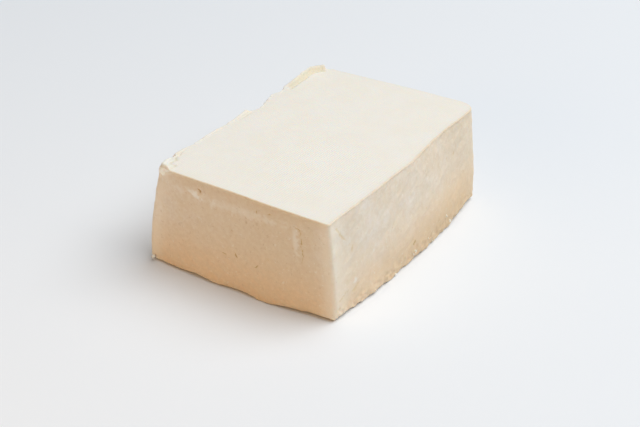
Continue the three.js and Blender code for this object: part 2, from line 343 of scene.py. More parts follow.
SCRAPS = (
    Scrap(tail=-45.4, tip=-56.6, heights=(0.2, 0.8, 1.4, 1.5, 1.2), widths=(1.8, 2.7, 3.8, 4.4, 4.4),
          fold=0.9),
    Scrap(tail=-30.0, tip=-45.6, heights=(0.0, 0.1, 0.3, 0.65), widths=(1.6, 2.0), fold=0.6),
    Scrap(tail=-26.5, tip=-13.0, heights=(0.0, 0.35, 0.35, 0.15), widths=(1.7, 1.7), fold=0.3),
    Scrap(tail=-11.0, tip=2.0, heights=(0.0, 0.3, 0.5, 0.85), widths=(2.6, 3.6), fold=0.4),
    Scrap(tail=27.0, tip=53.5, heights=(0.0, 0.35, 1.3, 2.15, 2.15, 2.2), widths=(4.0, 4.2, 3.6, 3.4, 3.4),
          fold=1.0),
)
CHIPS = (
    Chip(start=-62.0, deepest=-57.0, end=-50.5, depth=2.2),
    Chip(start=-46.8, deepest=-44.6, end=-43.2, depth=1.1),
    Chip(start=-38.0, deepest=-33.0, end=-24.0, depth=1.1),
    Chip(start=1.2, deepest=6.4, end=20.4, depth=3.5),
    Chip(start=21.0, deepest=23.6, end=30.0, depth=2.2),
)

CRACKS = {
    Face.SHORT_CUT: (
        Crack(((-23.9, 36.1), (-26.8, 34.9), (-27.3, 31.6), (-27.4, 27.8), (-28.1, 25.9), (-27.4, 21.9)),
              width=0.7, depth=0.12, tone=0.85),
        Crack(((-12.0, 40.8), (-22.0, 40.7), (-30.0, 40.6), (-38.0, 40.4)), width=0.7, depth=0.04, tone=0.45),
        Crack(((0.5, 17.5), (1.6, 21.0), (0.6, 24.5), (2.2, 28.0)), width=0.4, depth=0.08, tone=0.4),
        Crack(((18.5, 26.0), (17.6, 23.5), (18.4, 21.0)), width=0.4, depth=0.08, tone=0.4),
        Crack(((-14.0, 19.5), (-12.0, 17.5), (-12.6, 15.5)), width=0.4, depth=0.08, tone=0.4),
    ),
    Face.LONG_CUT: (
        Crack(((-51.8, 37.8), (-49.6, 34.6), (-46.4, 30.8)), width=1.9, depth=0.07, tone=0.5),
        Crack(((-55.0, 7.4), (-51.0, 8.2), (-46.6, 10.2)), width=1.7, depth=0.1, tone=0.42),
        Crack(((-43.6, 8.6), (-41.4, 9.0), (-39.6, 10.4)), width=2.2, depth=0.1, tone=0.48),
        Crack(((-54.0, 3.4), (-50.6, 4.8)), width=1.6, depth=0.1, tone=0.4),
    ),
    Face.FAR: (
        Crack(((14.0, 31.0), (12.2, 27.5), (12.6, 23.0), (11.0, 19.5)), width=0.55, depth=0.2, tone=0.6),
    ),
    Face.TORN: (
        Crack(((-30.0, 12.0), (-27.0, 14.5), (-23.5, 15.0), (-21.0, 17.5)), width=0.55, depth=0.2, tone=0.6),
    ),
}

PORES = {
    Face.SHORT_CUT: (
        Pore(at=(17.2, 37.3), length=2.4, width=1.1, depth=0.5, tilt=36, tone=0.9),
        Pore(at=(-8.6, 37.0), length=1.9, width=0.7, depth=0.18, tilt=80, tone=0.9),
        Pore(at=(-14.3, 37.6), length=1.8, width=0.7, depth=0.16, tilt=10, tone=0.8),
        Pore(at=(6.1, 15.0), length=3.0, width=0.65, depth=0.16, tilt=13, tone=0.88),
        Pore(at=(0.7, 16.1), length=2.8, width=0.7, depth=0.2, tilt=62, tone=0.9),
        Pore(at=(-13.5, 18.8), length=2.0, width=0.5, depth=0.14, tilt=40, tone=0.6),
        Pore(at=(-8.4, 14.3), length=3.0, width=0.65, depth=0.18, tilt=-39, tone=0.95),
        Pore(at=(-18.4, 8.8), length=1.8, width=0.5, depth=0.14, tilt=22, tone=0.6),
        Pore(at=(-24.1, 26.9), length=1.2, width=0.6, depth=0.14, tilt=80, tone=0.6),
        Pore(at=(-22.9, 23.7), length=0.9, width=0.5, depth=0.1, tilt=50, tone=0.5),
        Pore(at=(-21.5, 17.9), length=1.0, width=0.5, depth=0.1, tilt=70, tone=0.5),
        Pore(at=(-30.4, 33.2), length=0.9, width=0.5, depth=0.1, tilt=0, tone=0.5),
        Pore(at=(12.6, 19.7), length=1.2, width=0.6, depth=0.12, tilt=0, tone=0.5),
        Pore(at=(-26.9, 34.8), length=1.4, width=0.6, depth=0.2, tilt=-50, tone=0.7),
        Pore(at=(-28.0, 25.9), length=1.3, width=0.6, depth=0.18, tilt=70, tone=0.7),
    ),
    Face.LONG_CUT: (
        Pore(at=(-42.6, 25.8), length=3.0, width=1.5, depth=0.06, tilt=70, tone=0.52),
        Pore(at=(7.6, 18.4), length=1.6, width=0.9, depth=0.08, tilt=50, tone=0.4),
        Pore(at=(-1.6, 7.9), length=3.0, width=1.3, depth=0.25, tilt=40, tone=1.0),
        Pore(at=(15.1, 31.7), length=2.6, width=0.7, depth=0.06, tilt=60, tone=0.3),
        Pore(at=(28.7, 29.4), length=2.0, width=0.9, depth=0.08, tilt=60, tone=0.5),
        Pore(at=(34.8, 29.4), length=2.8, width=1.0, depth=0.1, tilt=60, tone=0.62),
    ),
    Face.FAR: (
        Pore(at=(-18.0, 24.0), length=2.4, width=0.6, depth=0.2, tilt=35, tone=0.7),
        Pore(at=(-7.0, 12.0), length=1.8, width=0.7, depth=0.2, tilt=-40, tone=0.7),
        Pore(at=(25.0, 15.0), length=1.6, width=0.6, depth=0.16, tilt=70, tone=0.6),
    ),
    Face.TORN: (
        Pore(at=(-8.0, 22.0), length=2.6, width=0.7, depth=0.2, tilt=-30, tone=0.7),
        Pore(at=(18.0, 30.0), length=1.8, width=0.7, depth=0.2, tilt=50, tone=0.7),
        Pore(at=(33.0, 13.0), length=2.2, width=0.6, depth=0.2, tilt=20, tone=0.7),
    ),
}

SMEARS = {
    Face.SHORT_CUT: (
        Smear(at=(-1.0, 34.6), length=46.0, width=4.2, tilt=-2, strength=0.32),
        Smear(at=(-25.1, 30.0), length=13.0, width=3.0, tilt=86, strength=0.45),
        Smear(at=(19.4, 35.1), length=8.0, width=3.4, tilt=21, strength=0.9),
        Smear(at=(26.5, 35.0), length=6.0, width=3.0, tilt=10, strength=0.35),
        Smear(at=(11.1, 34.2), length=5.0, width=2.0, tilt=-70, strength=0.5),
        Smear(at=(-25.5, 34.3), length=2.6, width=0.9, tilt=75, strength=0.5),
        Smear(at=(35.4, 36.0), length=2.4, width=1.2, tilt=60, strength=0.6),
    ),
    Face.LONG_CUT: (
        Smear(at=(-42.2, 12.3), length=3.4, width=2.6, tilt=50, strength=0.6),
        Smear(at=(-30.0, 18.0), length=4.0, width=0.9, tilt=30, strength=0.4),
    ),
    Face.TORN: (Smear(at=(-40.0, 30.0), length=5.0, width=1.6, tilt=-20, strength=0.5),),
    Face.FAR: (Smear(at=(8.0, 34.0), length=4.0, width=1.3, tilt=10, strength=0.5),),
}


@dataclass
class Perimeter:
    """Where points lie round the outline: on a corner, at a turn, or on a side, at a share of it."""

    index: np.ndarray
    on_corner: np.ndarray
    t: np.ndarray
    past_corner: np.ndarray

    def trait(self, name: str) -> np.ndarray:
        """A number that belongs to each side, which changes over smoothly round the corners.

        Args:
            name: the number's name in Side.

        Returns:
            The number at each point.
        """
        values = np.array([getattr(SIDES[face], name) for face in Face])
        here, before = values[self.index], values[(self.index + 3) % 4]
        return np.where(self.on_corner, blend(before, here, smoothstep(self.t, 0, 1)), here)

    def stations(self, name: str) -> np.ndarray:
        """A trait given at stations along each side, which changes over smoothly round the corners.

        Args:
            name: the trait's name in Side.

        Returns:
            The trait at each point.
        """
        lines = [getattr(SIDES[face], name) for face in Face]
        first = np.array([line[0] for line in lines])
        last = np.array([line[-1] for line in lines])
        round_corner = blend(last[(self.index + 3) % 4], first[self.index], smoothstep(self.t, 0, 1))
        values = np.zeros(len(self.t))
        for face in Face:
            here = self.on(face)
            values[here] = along_stations(lines[face], self.t[here])
        return np.where(self.on_corner, round_corner, values)

    def on(self, face: Face) -> np.ndarray:
        """Tells which points are on a side, between its corners."""
        return (self.index == face) & ~self.on_corner

    def corner_point(self, index: np.ndarray, turn: np.ndarray, level: np.ndarray) -> np.ndarray:
        """Points of the rounded corners.

        Args:
            index: which corners.
            turn: how far round each one, from 0 to 1.
            level: how far up, from 0, the foot, to 1, the rim.

        Returns:
            The points, one row each.
        """
        foot, rim, foot_radius, rim_radius = (
            np.array([getattr(corner, name) for corner in CORNERS])[index]
            for name in ("foot", "rim", "foot_radius", "rim_radius"))
        radius = blend(foot_radius, rim_radius, level)[:, None]
        sharp = blend(foot, rim, level[:, None])
        angle = math.pi + (index + turn) * (math.pi / 2)
        outwards = np.stack([np.cos(angle), np.sin(angle)], axis=1)
        return sharp - np.sign(sharp) * radius + outwards * radius

    def outline(self, level: np.ndarray) -> tuple[np.ndarray, np.ndarray]:
        """The outline at these places.

        Args:
            level: how far up, from 0, the foot, to 1, the rim.

        Returns:
            The points of the outline, and the directions straight out of it.
        """
        turn = np.where(self.on_corner, self.t, 1.0)
        points = self.corner_point(self.index, turn, level)
        ends = self.corner_point((self.index + 1) % 4, np.zeros(len(turn)), level)
        along = blend(points, ends, self.t[:, None])
        angle = np.where(self.on_corner, math.pi + (self.index + self.t) * (math.pi / 2),
                         (self.index - 1) * (math.pi / 2))
        outwards = np.stack([np.cos(angle), np.sin(angle)], axis=1)
        bow = np.zeros(len(turn))
        for face in Face:
            here = self.on(face)
            foot = along_stations(SIDES[face].foot_bow, self.t[here])
            rim = along_stations(SIDES[face].rim_bow, self.t[here])
            bow[here] = blend(foot, rim, level[here])
        along += outwards * bow[:, None]
        return np.where(self.on_corner[:, None], points, along), outwards


@dataclass(frozen=True)
class TornEdge:
    """The skin torn up along the +Y rim: its scraps, their folds, and the pieces gone from it."""

    from_y: float = 30.0
    full_y: float = 36.0
    far_reach: float = 6.0
    far_x: tuple[float, float] = (44.0, 50.0)
    ragged: float = 0.25
    ragged_size: float = 3.0
    ragged_lift: float = 0.1
    waves: tuple[tuple[float, float], ...] = ((0.1, 5.0), (0.05, 2.0))
    noise_row: float = 3.1
    noise_stretch: float = 0.3
    plain_width: float = 2.0
    tip_length: float = 0.6
    narrowest: float = 0.25
    narrowing_y: tuple[float, float] = (30.5, 34.5)
    crest_shares: tuple[float, ...] = (0.0, 0.07, 0.18, 0.3, 0.45, 0.65, 1.0)
    crest_heights: tuple[float, ...] = (0.35, 0.8, 1.0, 0.92, 0.5, 0.18, 0.0)
    folding_height: tuple[float, float] = (0.1, 0.5)
    fold_start: tuple[float, float] = (0.05, 0.55)
    fold_end: tuple[float, float] = (0.9, 1.05)
    crease_at: float = 0.92
    crease_width: float = 0.13
    chip_height: float = 11.0
    chip_shoulder: float = 2.0
    chip_width: float = 9.0
    chip_power: float = 0.85

    def belongs(self, rim: np.ndarray) -> np.ndarray:
        """How much points of the rim belong to the torn edge, from 0 to 1."""
        reach = self.far_reach * smoothstep(rim[:, 0], *self.far_x)
        return smoothstep(rim[:, 1] + reach, self.from_y, self.full_y)

    def skin(self, rim: np.ndarray) -> tuple[np.ndarray, np.ndarray, np.ndarray]:
        """The torn skin where it passes points of the rim.

        Args:
            rim: points of the rim, one row each.

        Returns:
            How high it stands, how wide it is, and how strongly it is folded.
        """
        x = rim[:, 0]
        line = np.column_stack([x, np.full(len(x), self.noise_row), rim[:, 1] * self.noise_stretch])
        height = self.ragged * np.maximum(0, FINE.at(line, self.ragged_size) + self.ragged_lift)
        width, fold = np.full(len(x), self.plain_width), np.zeros(len(x))
        wave = 1 + layered(line, self.waves)
        for scrap in SCRAPS:
            direction = math.copysign(1, scrap.tip - scrap.tail)
            grown = (x - scrap.tail) / (scrap.tip - scrap.tail)
            beyond = (x - scrap.tip) * direction
            inside = (grown > 0) & (beyond < self.tip_length)
            fall = 1 - np.clip(beyond / self.tip_length + 0.5, 0, 1) ** 2
            own = np.where(inside, along_stations(scrap.heights, grown) * wave * fall, 0.0)
            highest = inside & (own > height)
            width = np.where(highest, along_stations(scrap.widths, grown), width)
            fold = np.where(highest, scrap.fold, fold)
            height = np.maximum(height, own)
        narrowing = blend(self.narrowest, 1.0, smoothstep(rim[:, 1], *self.narrowing_y))
        width *= np.where(x < 0, narrowing, 1.0)
        return height * self.belongs(rim), width, fold

    def crest(self, share: np.ndarray) -> np.ndarray:
        """Height of the torn skin at shares of its width from the rim, where its highest is 1."""
        return np.interp(share, self.crest_shares, self.crest_heights)

    def folds(self, share: np.ndarray, raised: np.ndarray) -> tuple[np.ndarray, np.ndarray]:
        """Masks of the folded skin and of the crease at its inner edge, for a tint that is partly the skin's
        yellowish tone and partly painted shade.

        Args:
            share: how far points are across the skin's width from the rim.
            raised: how much the skin is raised there, from 0 to 1.

        Returns:
            The two masks.
        """
        crease = np.exp(-((share - self.crease_at) / self.crease_width) ** 2) * raised
        fold = smoothstep(share, *self.fold_start) * (1 - smoothstep(share, *self.fold_end)) * raised
        return fold, crease

    def chipped(self, rim: np.ndarray, inset: np.ndarray, above: np.ndarray) -> np.ndarray:
        """How far the edge is broken back.

        Args:
            rim: the point of the rim over each point.
            inset: how far in from the rim each point is.
            above: how high each point is over the foot of the chips.

        Returns:
            The distances.
        """
        depth = np.zeros(len(rim))
        for chip in CHIPS:
            before = (rim[:, 0] - chip.start) / (chip.deepest - chip.start)
            after = (chip.end - rim[:, 0]) / (chip.end - chip.deepest)
            share = np.clip(np.minimum(before, after), 0, 1)
            depth = np.maximum(depth, chip.depth * share ** self.chip_power)
        depth *= self.belongs(rim) * (1 - smoothstep(inset, 0.0, self.chip_width))
        return depth * smoothstep(above, 0.0, self.chip_height - self.chip_shoulder)


@dataclass(frozen=True)
class SkinTongue:
    """The tongue of skin that turns down over the corner at -X +Y."""

    from_y: float = 29.5
    full_y: float = 36.5
    along_x: tuple[float, float] = (-50.0, -40.0)
    drop: float = 3.6
    edge: float = 0.5
    unevenness: float = 0.3
    wave: float = 3.5
    shortest: tuple[float, float] = (0.1, 0.6)
    thickness: float = 0.1
    spread: float = 0.9
    spread_depth: float = 5.0
    turned_radius: float = 3.0

    def over(self, places: np.ndarray) -> np.ndarray:
        """How much places are under the tongue."""
        along_skin = 1 - smoothstep(places[:, 0], *self.along_x)
        return smoothstep(places[:, 1], self.from_y, self.full_y) * along_skin

    def draped(self, solid: np.ndarray, rim_height: float) -> np.ndarray:
        """How much the tongue covers points of the sides.

        Args:
            solid: the points.
            rim_height: height of the rim.

        Returns:
            The cover, from 0 to 1.
        """
        hang = self.drop * self.over(solid)
        hang *= 1 + self.unevenness * FINE.at(solid, self.wave)
        cover = smoothstep(solid[:, 2] - rim_height + hang, 0.0, self.edge)
        return cover * smoothstep(hang, *self.shortest)

    def spreading(self, rim: np.ndarray, inset: np.ndarray, under_rim: np.ndarray) -> np.ndarray:
        """How far the tongue bulges out.

        Args:
            rim: the point of the rim over each point.
            inset: how far in from the rim each point is.
            under_rim: how far under the rim each point is.

        Returns:
            The distances.
        """
        share = 1 - smoothstep(inset, 0.0, self.spread_depth)
        share *= self.over(rim) * (1 - smoothstep(under_rim, 0.0, self.spread_depth))
        return self.spread * share


@dataclass(frozen=True)
class SideSurface:
    """How the sides stand out of true: dents, curd lumps, drag marks and a crumbled foot."""

    dent: tuple[float, float] = (0.32, 30.0)
    lumps: tuple[tuple[float, float], ...] = ((0.07, 7.0), (0.05, 3.4))
    drag_depth: float = 0.13
    drag_run: float = 0.9
    drag_rise: float = 0.42
    drag_drift: float = 0.05
    long_marks: tuple[float, float, float] = (20.0, 5.2, 18.0)
    short_marks: tuple[float, float, float] = (9.0, 2.6, 9.0)
    crumbled_z: tuple[float, float] = (2.0, 9.0)
    crumbled_depth: float = 0.45
    crumbs: tuple[tuple[float, float], ...] = ((1.0, 4.2), (0.6, 2.1))
    edge_crumbs: tuple[tuple[float, float], ...] = ((1.0, 6.0), (0.7, 2.7))
    noise_level: float = 0.4
    smallest_radius: float = 0.5
    mark_sway: float = 0.28
    wobble_size: float = 1.7
    ripple_size: float = 1.3
    crack_ends: float = 0.35
    crack_gaps: tuple[float, float] = (-1.5, 0.0)
    narrowest_crack: float = 0.05
    smear_reach: float = 1.15
    smear_ragged: float = 0.35
    smear_fade: float = 0.9
    smear_height: float = 0.12
    edge_glow_waves: tuple[float, float] = (0.25, 9.0)

    def lower_radius(self, where: Perimeter, foot: np.ndarray) -> np.ndarray:
        """Radius of the lower edge, scalloped and crumbled.

        Args:
            where: places round the outline.
            foot: the outline's points at the foot.

        Returns:
            The radius at each place.
        """
        flat = np.column_stack([foot, np.full(len(foot), self.noise_level)])
        radius = where.stations("lower_edge") + where.trait("crumble") * layered(flat, self.edge_crumbs)
        return np.maximum(radius, self.smallest_radius)

    def relief(self, where: Perimeter, points: np.ndarray) -> np.ndarray:
        """How far points of the sides stand out.

        Args:
            where: places round the outline.
            points: the points themselves.

        Returns:
            The distances.
        """
        depth, size = self.dent
        along = points[:, 0] * self.drag_run + points[:, 2] * self.drag_rise
        across = points[:, 2] * self.drag_run - points[:, 0] * self.drag_rise
        slanted = np.stack([along, across, points[:, 1] + along * self.drag_drift], axis=1)
        marks = layered(slanted, ((1.0, self.long_marks), (0.6, self.short_marks)))
        low = 1 - smoothstep(points[:, 2], *self.crumbled_z)
        return (depth * BROAD.at(points, size) + layered(points, self.lumps)
                + self.drag_depth * where.trait("drag") * marks
                + self.crumbled_depth * where.trait("crumble") * low * layered(points, self.crumbs))

    def marks(self, where: Perimeter, points: np.ndarray,
              at_side: np.ndarray) -> tuple[np.ndarray, np.ndarray, np.ndarray]:
        """Depth and masks of the cracks, pores and smears of the sides.

        Args:
            where: places round the outline.
            points: the points themselves.
            at_side: tells which points are on a side.

        Returns:
            How deep the surface is cut in, how much painted shade darkens it there, and how smeared it is.
        """
        depth, pit, smear = (np.zeros(len(points)) for _ in range(3))
        wobble, ripple = FINE.at(points, self.wobble_size), BROAD.at(points, self.ripple_size)
        for face in Face:
            here = np.flatnonzero(at_side & where.on(face))
            sway = np.column_stack([wobble[here], ripple[here]]) * self.mark_sway
            spot = points[here][:, [face.axis, 2]] + sway
            cuts = []
            for crack in CRACKS[face]:
                away, run = crack.distance(spot)
                half = crack.width / 2 * blend(self.crack_ends, 1.0, np.sin(math.pi * run) ** 0.5)
                half *= smoothstep(ripple[here] + wobble[here], *self.crack_gaps)
                inside = np.clip(1 - away / np.maximum(half, self.narrowest_crack), 0, 1)
                cuts.append((crack.depth * inside ** 0.7, crack.tone * inside ** 0.5))
            for pore in PORES[face]:
                inside = np.sqrt(np.clip(1 - pore.distance(spot) ** 2, 0, 1))
                cuts.append((pore.depth * inside, pore.tone * inside))
            for cut, tone in cuts:
                depth[here] = np.maximum(depth[here], cut)
                pit[here] = np.maximum(pit[here], tone)
            for flake in SMEARS[face]:
                inside = self.smear_reach - flake.distance(spot) + self.smear_ragged * wobble[here]
                inside = smoothstep(inside, 0, self.smear_fade)
                smear[here] = np.maximum(smear[here], inside * flake.strength)
        return depth - self.smear_height * smear, pit, smear

    def worn(self, where: Perimeter, solid: np.ndarray) -> np.ndarray:
        """How much a painted pale glow lightens points near the upright edges.

        Args:
            where: places round the outline.
            solid: the points themselves.

        Returns:
            The mask, from 0 to 1.
        """
        nearest = np.where(where.on_corner | (where.t < 0.5), where.index, (where.index + 1) % 4)
        rubbed = np.array([corner.worn for corner in CORNERS])[nearest]
        reach = where.trait("edge_glow_width") * (1 + layered(solid, (self.edge_glow_waves,)))
        return rubbed * (1 - smoothstep(where.past_corner, 0.0, reach))


@dataclass
class BlockForm:
    """The surface of the block, worked out for any point of a plain box of its size."""

    height: float = 41.3
    half_length: float = 56.0
    half_width: float = 38.0
    lean_power: float = 1.6
    crown: float = 0.3
    top_swell: tuple[float, float] = (0.1, 34.0)
    top_ripple: tuple[float, float] = (0.03, 9.0)
    top_noise_level: float = 5.5
    top_skin_from: tuple[float, float] = (0.0, 0.7)
    base_skin_from: tuple[float, float] = (1.0, 3.5)
    chip_waves: tuple[float, float] = (0.12, 3.0)
    ledge_below: tuple[float, float] = (0.25, 0.75)
    side_reach: float = 2.0
    top_reach: float = 6.0
    side_lift: float = 0.35
    side_lift_depth: float = 5.0
    crease_depth: float = 0.35
    # The narrow and the wide band of painted shade along the top's rim, the narrow one's share, and the
    # heights of torn skin over which it fades.
    rim_line: float = 0.8
    rim_shade_reach: float = 3.2
    rim_line_share: float = 0.7
    rim_tone_ends: tuple[float, float] = (0.1, 0.4)
    torn: TornEdge = field(default_factory=TornEdge)
    tongue: SkinTongue = field(default_factory=SkinTongue)
    side: SideSurface = field(default_factory=SideSurface)

    def perimeter(self, box: np.ndarray) -> tuple[Perimeter, np.ndarray]:
        """Finds where points of the box lie round the outline.

        Args:
            box: points on the box, one row each.

        Returns:
            Their places round the outline, and how far out from the middle they are, up to 1.
        """
        x, y = box[:, 0] / self.half_length, box[:, 1] / self.half_width
        out = np.maximum(np.maximum(np.abs(x), np.abs(y)), 1e-9)
        across_x = np.abs(x) >= np.abs(y)
        index = np.where(across_x, np.where(x > 0, Face.FAR, Face.SHORT_CUT),
                         np.where(y > 0, Face.TORN, Face.LONG_CUT))
        lengths = np.where(across_x, 2 * self.half_width, 2 * self.half_length)
        share = np.choose(index, [x / out + 1, y / out + 1, 1 - x / out, 1 - y / out]) / 2
        gone = share * lengths
        arcs = np.array([max(c.foot_radius, c.rim_radius) * math.pi / 4 for c in CORNERS])
        first, second = arcs[index], arcs[(index + 1) % 4]
        starting = gone < first
        ending = gone > lengths - second
        t = (gone - first) / (lengths - first - second)
        t = np.where(starting, 0.5 + 0.5 * gone / first, t)
        t = np.where(ending, 0.5 * (gone - lengths + second) / second, t)
        index = np.where(ending, (index + 1) % 4, index)
        past_corner = np.maximum(0, np.minimum(gone - first, lengths - second - gone))
        return Perimeter(index, starting | ending, t, past_corner), out

    def level(self, z: np.ndarray) -> np.ndarray:
        """How far the outline has changed from the foot's to the rim's at heights."""
        return np.clip(z / self.height, 0, 1) ** self.lean_power

    def place(self, box: np.ndarray) -> dict[str, np.ndarray]:
        """Sets points of the box out on the block's own surface.

        Args:
            box: points on the box, one row each, in millimetres.

        Returns:
            The points of the block, and masks that tell what the surface is made like there and where light
            and shade are painted on it.
        """
        where, out = self.perimeter(box)
        z = box[:, 2]
        rim, _ = where.outline(np.ones(len(z)))
        foot, _ = where.outline(np.zeros(len(z)))
        upper = where.trait("edge_radius") + self.tongue.turned_radius * self.tongue.over(rim)
        lower = self.side.lower_radius(where, foot)
        edge, outwards = where.outline(self.level(z))
        inset = (1 - out) * np.sum(edge * outwards, axis=1)
        on_top, on_base, at_side = z > self.height - HAIR, z < HAIR, out > 1 - HAIR
        rounded_inset, moved_z = self.round_edges(inset, z, upper, lower)
        edge, outwards = where.outline(self.level(moved_z))
        solid = np.column_stack([edge, moved_z])
        moved = edge * (1 - rounded_inset / np.sum(edge * outwards, axis=1))[:, None]

        under_skin = self.height - upper - z
        drape = np.where(on_top, 0.0, self.tongue.draped(solid, self.height))
        ledge = where.trait("ledge") * smoothstep(under_skin, *self.ledge_below)
        ledge = np.where(on_top, 0.0, ledge) * (1 - drape)
        relief = self.side.relief(where, solid)
        relief *= np.where(at_side, 1.0, 1 - smoothstep(inset, 0.0, self.side_reach))
        depth, pit, smear = self.side.marks(where, solid, at_side)
        moved += outwards * (relief - ledge - depth + self.tongue.thickness * drape)[:, None]
        moved_z += np.where(on_top, smoothstep(inset, 0.0, self.top_reach), 0.0) * self.top_relief(moved)
        moved += outwards * self.tongue.spreading(rim, inset, self.height - z)[:, None]

        height, width, folded = self.torn.skin(rim)
        share = inset / width
        raised = np.where(on_top, folded * smoothstep(height, *self.torn.folding_height), 0.0)
        side_lift = self.side_lift * smoothstep(z, self.height - self.side_lift_depth, self.height)
        moved_z += height * np.where(on_top, self.torn.crest(share), side_lift)
        fold, crease = self.torn.folds(share, raised)
        moved_z -= self.crease_depth * crease
        # The fold mask takes in the crease, so painted shade goes into it.
        fold = np.maximum(fold, crease) * (1 - self.tongue.over(rim) * (1 - crease))
        chip = self.torn.chipped(rim, inset, z - self.height + self.torn.chip_height)
        moved -= outwards * (chip * (1 + layered(solid, (self.chip_waves,))))[:, None]

        skin = np.where(on_base, smoothstep(inset, *self.base_skin_from), drape)
        skin = np.where(on_top, smoothstep(inset, *self.top_skin_from), skin)
        # Painted shade along the upper edges, left off the torn skin and the tongue.
        painted_rim_shade = self.painted_rim_shade(inset, under_skin / where.trait("rim_band"), on_top)
        painted_rim_shade *= (1 - smoothstep(height, *self.rim_tone_ends)) * (1 - drape)
        painted_rim_shade *= 1 - self.torn.belongs(rim)
        # Besides the real marks, some masks paint light: shade along the rim and at the foot, warm bounce
        # light over the sides and near the foot, a pale glow by the upright edges, and light on the
        # turned-down tongue.
        return {
            "points": np.column_stack([moved, np.maximum(moved_z, 0.0)]),
            "skin": skin, "fold": fold, "pit": pit, "smear": smear, "rim": painted_rim_shade, "drape": drape,
            "drag": where.trait("drag") * at_side, "worn": self.side.worn(where, solid) * at_side,
            **{name: where.stations(name) for name in ("warmth", "soaked", "dusk")},
        }

    def painted_rim_shade(self, inset: np.ndarray, below: np.ndarray, on_top: np.ndarray) -> np.ndarray:
        """How much painted shade darkens points near the rim.

        Args:
            inset: how far in from the rim each point is.
            below: how many widths of the side's rim band each point is below it.
            on_top: tells which points are on the top.

        Returns:
            The mask, from 0 to 1.
        """
        line, glow = (1 - smoothstep(inset, 0.0, reach) for reach in (self.rim_line, self.rim_shade_reach))
        inwards = self.rim_line_share * line + (1 - self.rim_line_share) * glow
        return np.where(on_top, inwards, 1 - smoothstep(below, 0.0, 1.0))

    def round_edges(self, inset: np.ndarray, z: np.ndarray, upper: np.ndarray,
                    lower: np.ndarray) -> tuple[np.ndarray, np.ndarray]:
        """Rounds the upper and lower edges of the box's profile.

        Args:
            inset: distance in from the outline.
            z: height over the base.
            upper: radius of the upper edge.
            lower: radius of the lower edge.

        Returns:
            The new insets and heights.
        """
        new_inset, new_z = inset.copy(), z.copy()
        for radius, centre, near in (
            (upper, self.height - upper, z > self.height - upper),
            (lower, lower, z < lower),
        ):
            here = near & (inset < radius)
            dx, dz = inset[here] - radius[here], z[here] - centre[here]
            size = np.hypot(dx, dz)
            new_inset[here] = radius[here] * (1 + dx / size)
            new_z[here] = centre[here] + radius[here] * dz / size
        return new_inset, new_z

    def top_relief(self, points: np.ndarray) -> np.ndarray:
        """Height of the top face over its edge.

        Args:
            points: places on the top, one row each.

        Returns:
            The heights.
        """
        dome = (1 - (points[:, 0] / self.half_length) ** 2) * (1 - (points[:, 1] / self.half_width) ** 2)
        flat = np.column_stack([points, np.full(len(points), self.top_noise_level)])
        depth, size = self.top_swell
        swell = depth * BROAD.at(flat, size)
        return self.crown * np.maximum(0, dome) + swell + layered(flat, (self.top_ripple,))


# --- finishes ---------------------------------------------------------------------------------------


class Mark(Enum):
    """Point attributes of the block that its finish reads."""

    SKIN = "skin"
    # The torn skin's yellowish fold, partly its own tone and partly painted shade in its crease.
    FOLD = "fold"
    # Pits and cracks, darkened by painted shade.
    PIT = "pit"
    SMEAR = "smear"
    # Painted shade along the upper edges.
    RIM = "rim"
    DRAG = "drag"
    # Painted warm bounce light over a side.
    WARMTH = "warmth"
    # A painted pale glow by the upright edges.
    WORN = "worn"
    # The tongue of skin turned down over the corner, where light is painted on it.
    DRAPE = "drape"
    # Painted warm bounce light near the foot.
    SOAKED = "soaked"
    # Painted shade at the foot.
    DUSK = "dusk"


@dataclass(frozen=True)
class TofuFinish:
    """Colours and surface of the tofu. Colours are linear, and pitch, size and depth are in metres."""

    name: str
    flesh: tuple[float, float, float]
    # Both the flesh's warm patches and painted warm bounce light.
    warm_patch_and_bounce: tuple[float, float, float]
    # Painted orange bounce light near the foot.
    painted_bounce_orange: tuple[float, float, float]
    skin: tuple[float, float, float]
    skin_warm: tuple[float, float, float]
    # The torn skin's yellowish tone, darkened with painted shade.
    fold: tuple[float, float, float]
    # A brown used for painted shade and for the flesh's real mottle and grit.
    shade: tuple[float, float, float]
    # Olive painted shade on the top's rim.
    rim: tuple[float, float, float]
    streak: tuple[float, float, float]
    # The painted pale glow by the upright edges, also the crumbs' own colour.
    worn: tuple[float, float, float]
    # Painted light on the turned-down tongue, which stands in shade.
    drape: tuple[float, float, float]
    # Painted shade round pits and cracks.
    pit_halo_shade: tuple[float, float, float]
    # Painted shade in pits, cracks, pinholes and fissures.
    pit: tuple[float, float, float]
    smear: tuple[float, float, float]
    roughness: float
    roughness_range: tuple[float, float]
    specular: float
    ior: float
    subsurface: float
    subsurface_radius: tuple[float, float, float]
    subsurface_scale: float
    cloth_pitch: float
    cloth_depth: float
    curd_size: float
    curd_depth: float
    # Height over which the painted bounce light near the foot fades out.
    foot_bounce_height: float
    # Heights between which the painted shade at the foot fades out.
    foot_shade_from: float
    foot_shade_to: float


@dataclass(frozen=True)
class Tint:
    """How strongly each effect tints the tofu, from 0, not at all, to 1."""

    patches: float = 0.5
    mottle: float = 0.16
    smudges: float = 0.3
    smudges_where_dragged: float = 0.18
    streaks: float = 0.12
    grit: float = 0.32
    flecks: float = 0.35
    # A painted pale glow by the upright edges.
    worn: float = 0.45
    # Painted shade in the grain's pinholes and fissures.
    pinholes: float = 0.35
    fissures: float = 0.3
    cloth_spots: float = 0.4
    # Painted shade in the hollows of the cloth's weave.
    painted_weave_shade: float = 0.1
    # Painted shade along the rim.
    rim: float = 0.2
    # The torn skin's yellowish fold, partly painted shade.
    fold: float = 0.85
    # Painted shade round and in pits and cracks.
    pit_halo_shade: float = 0.55
    pit: float = 0.75


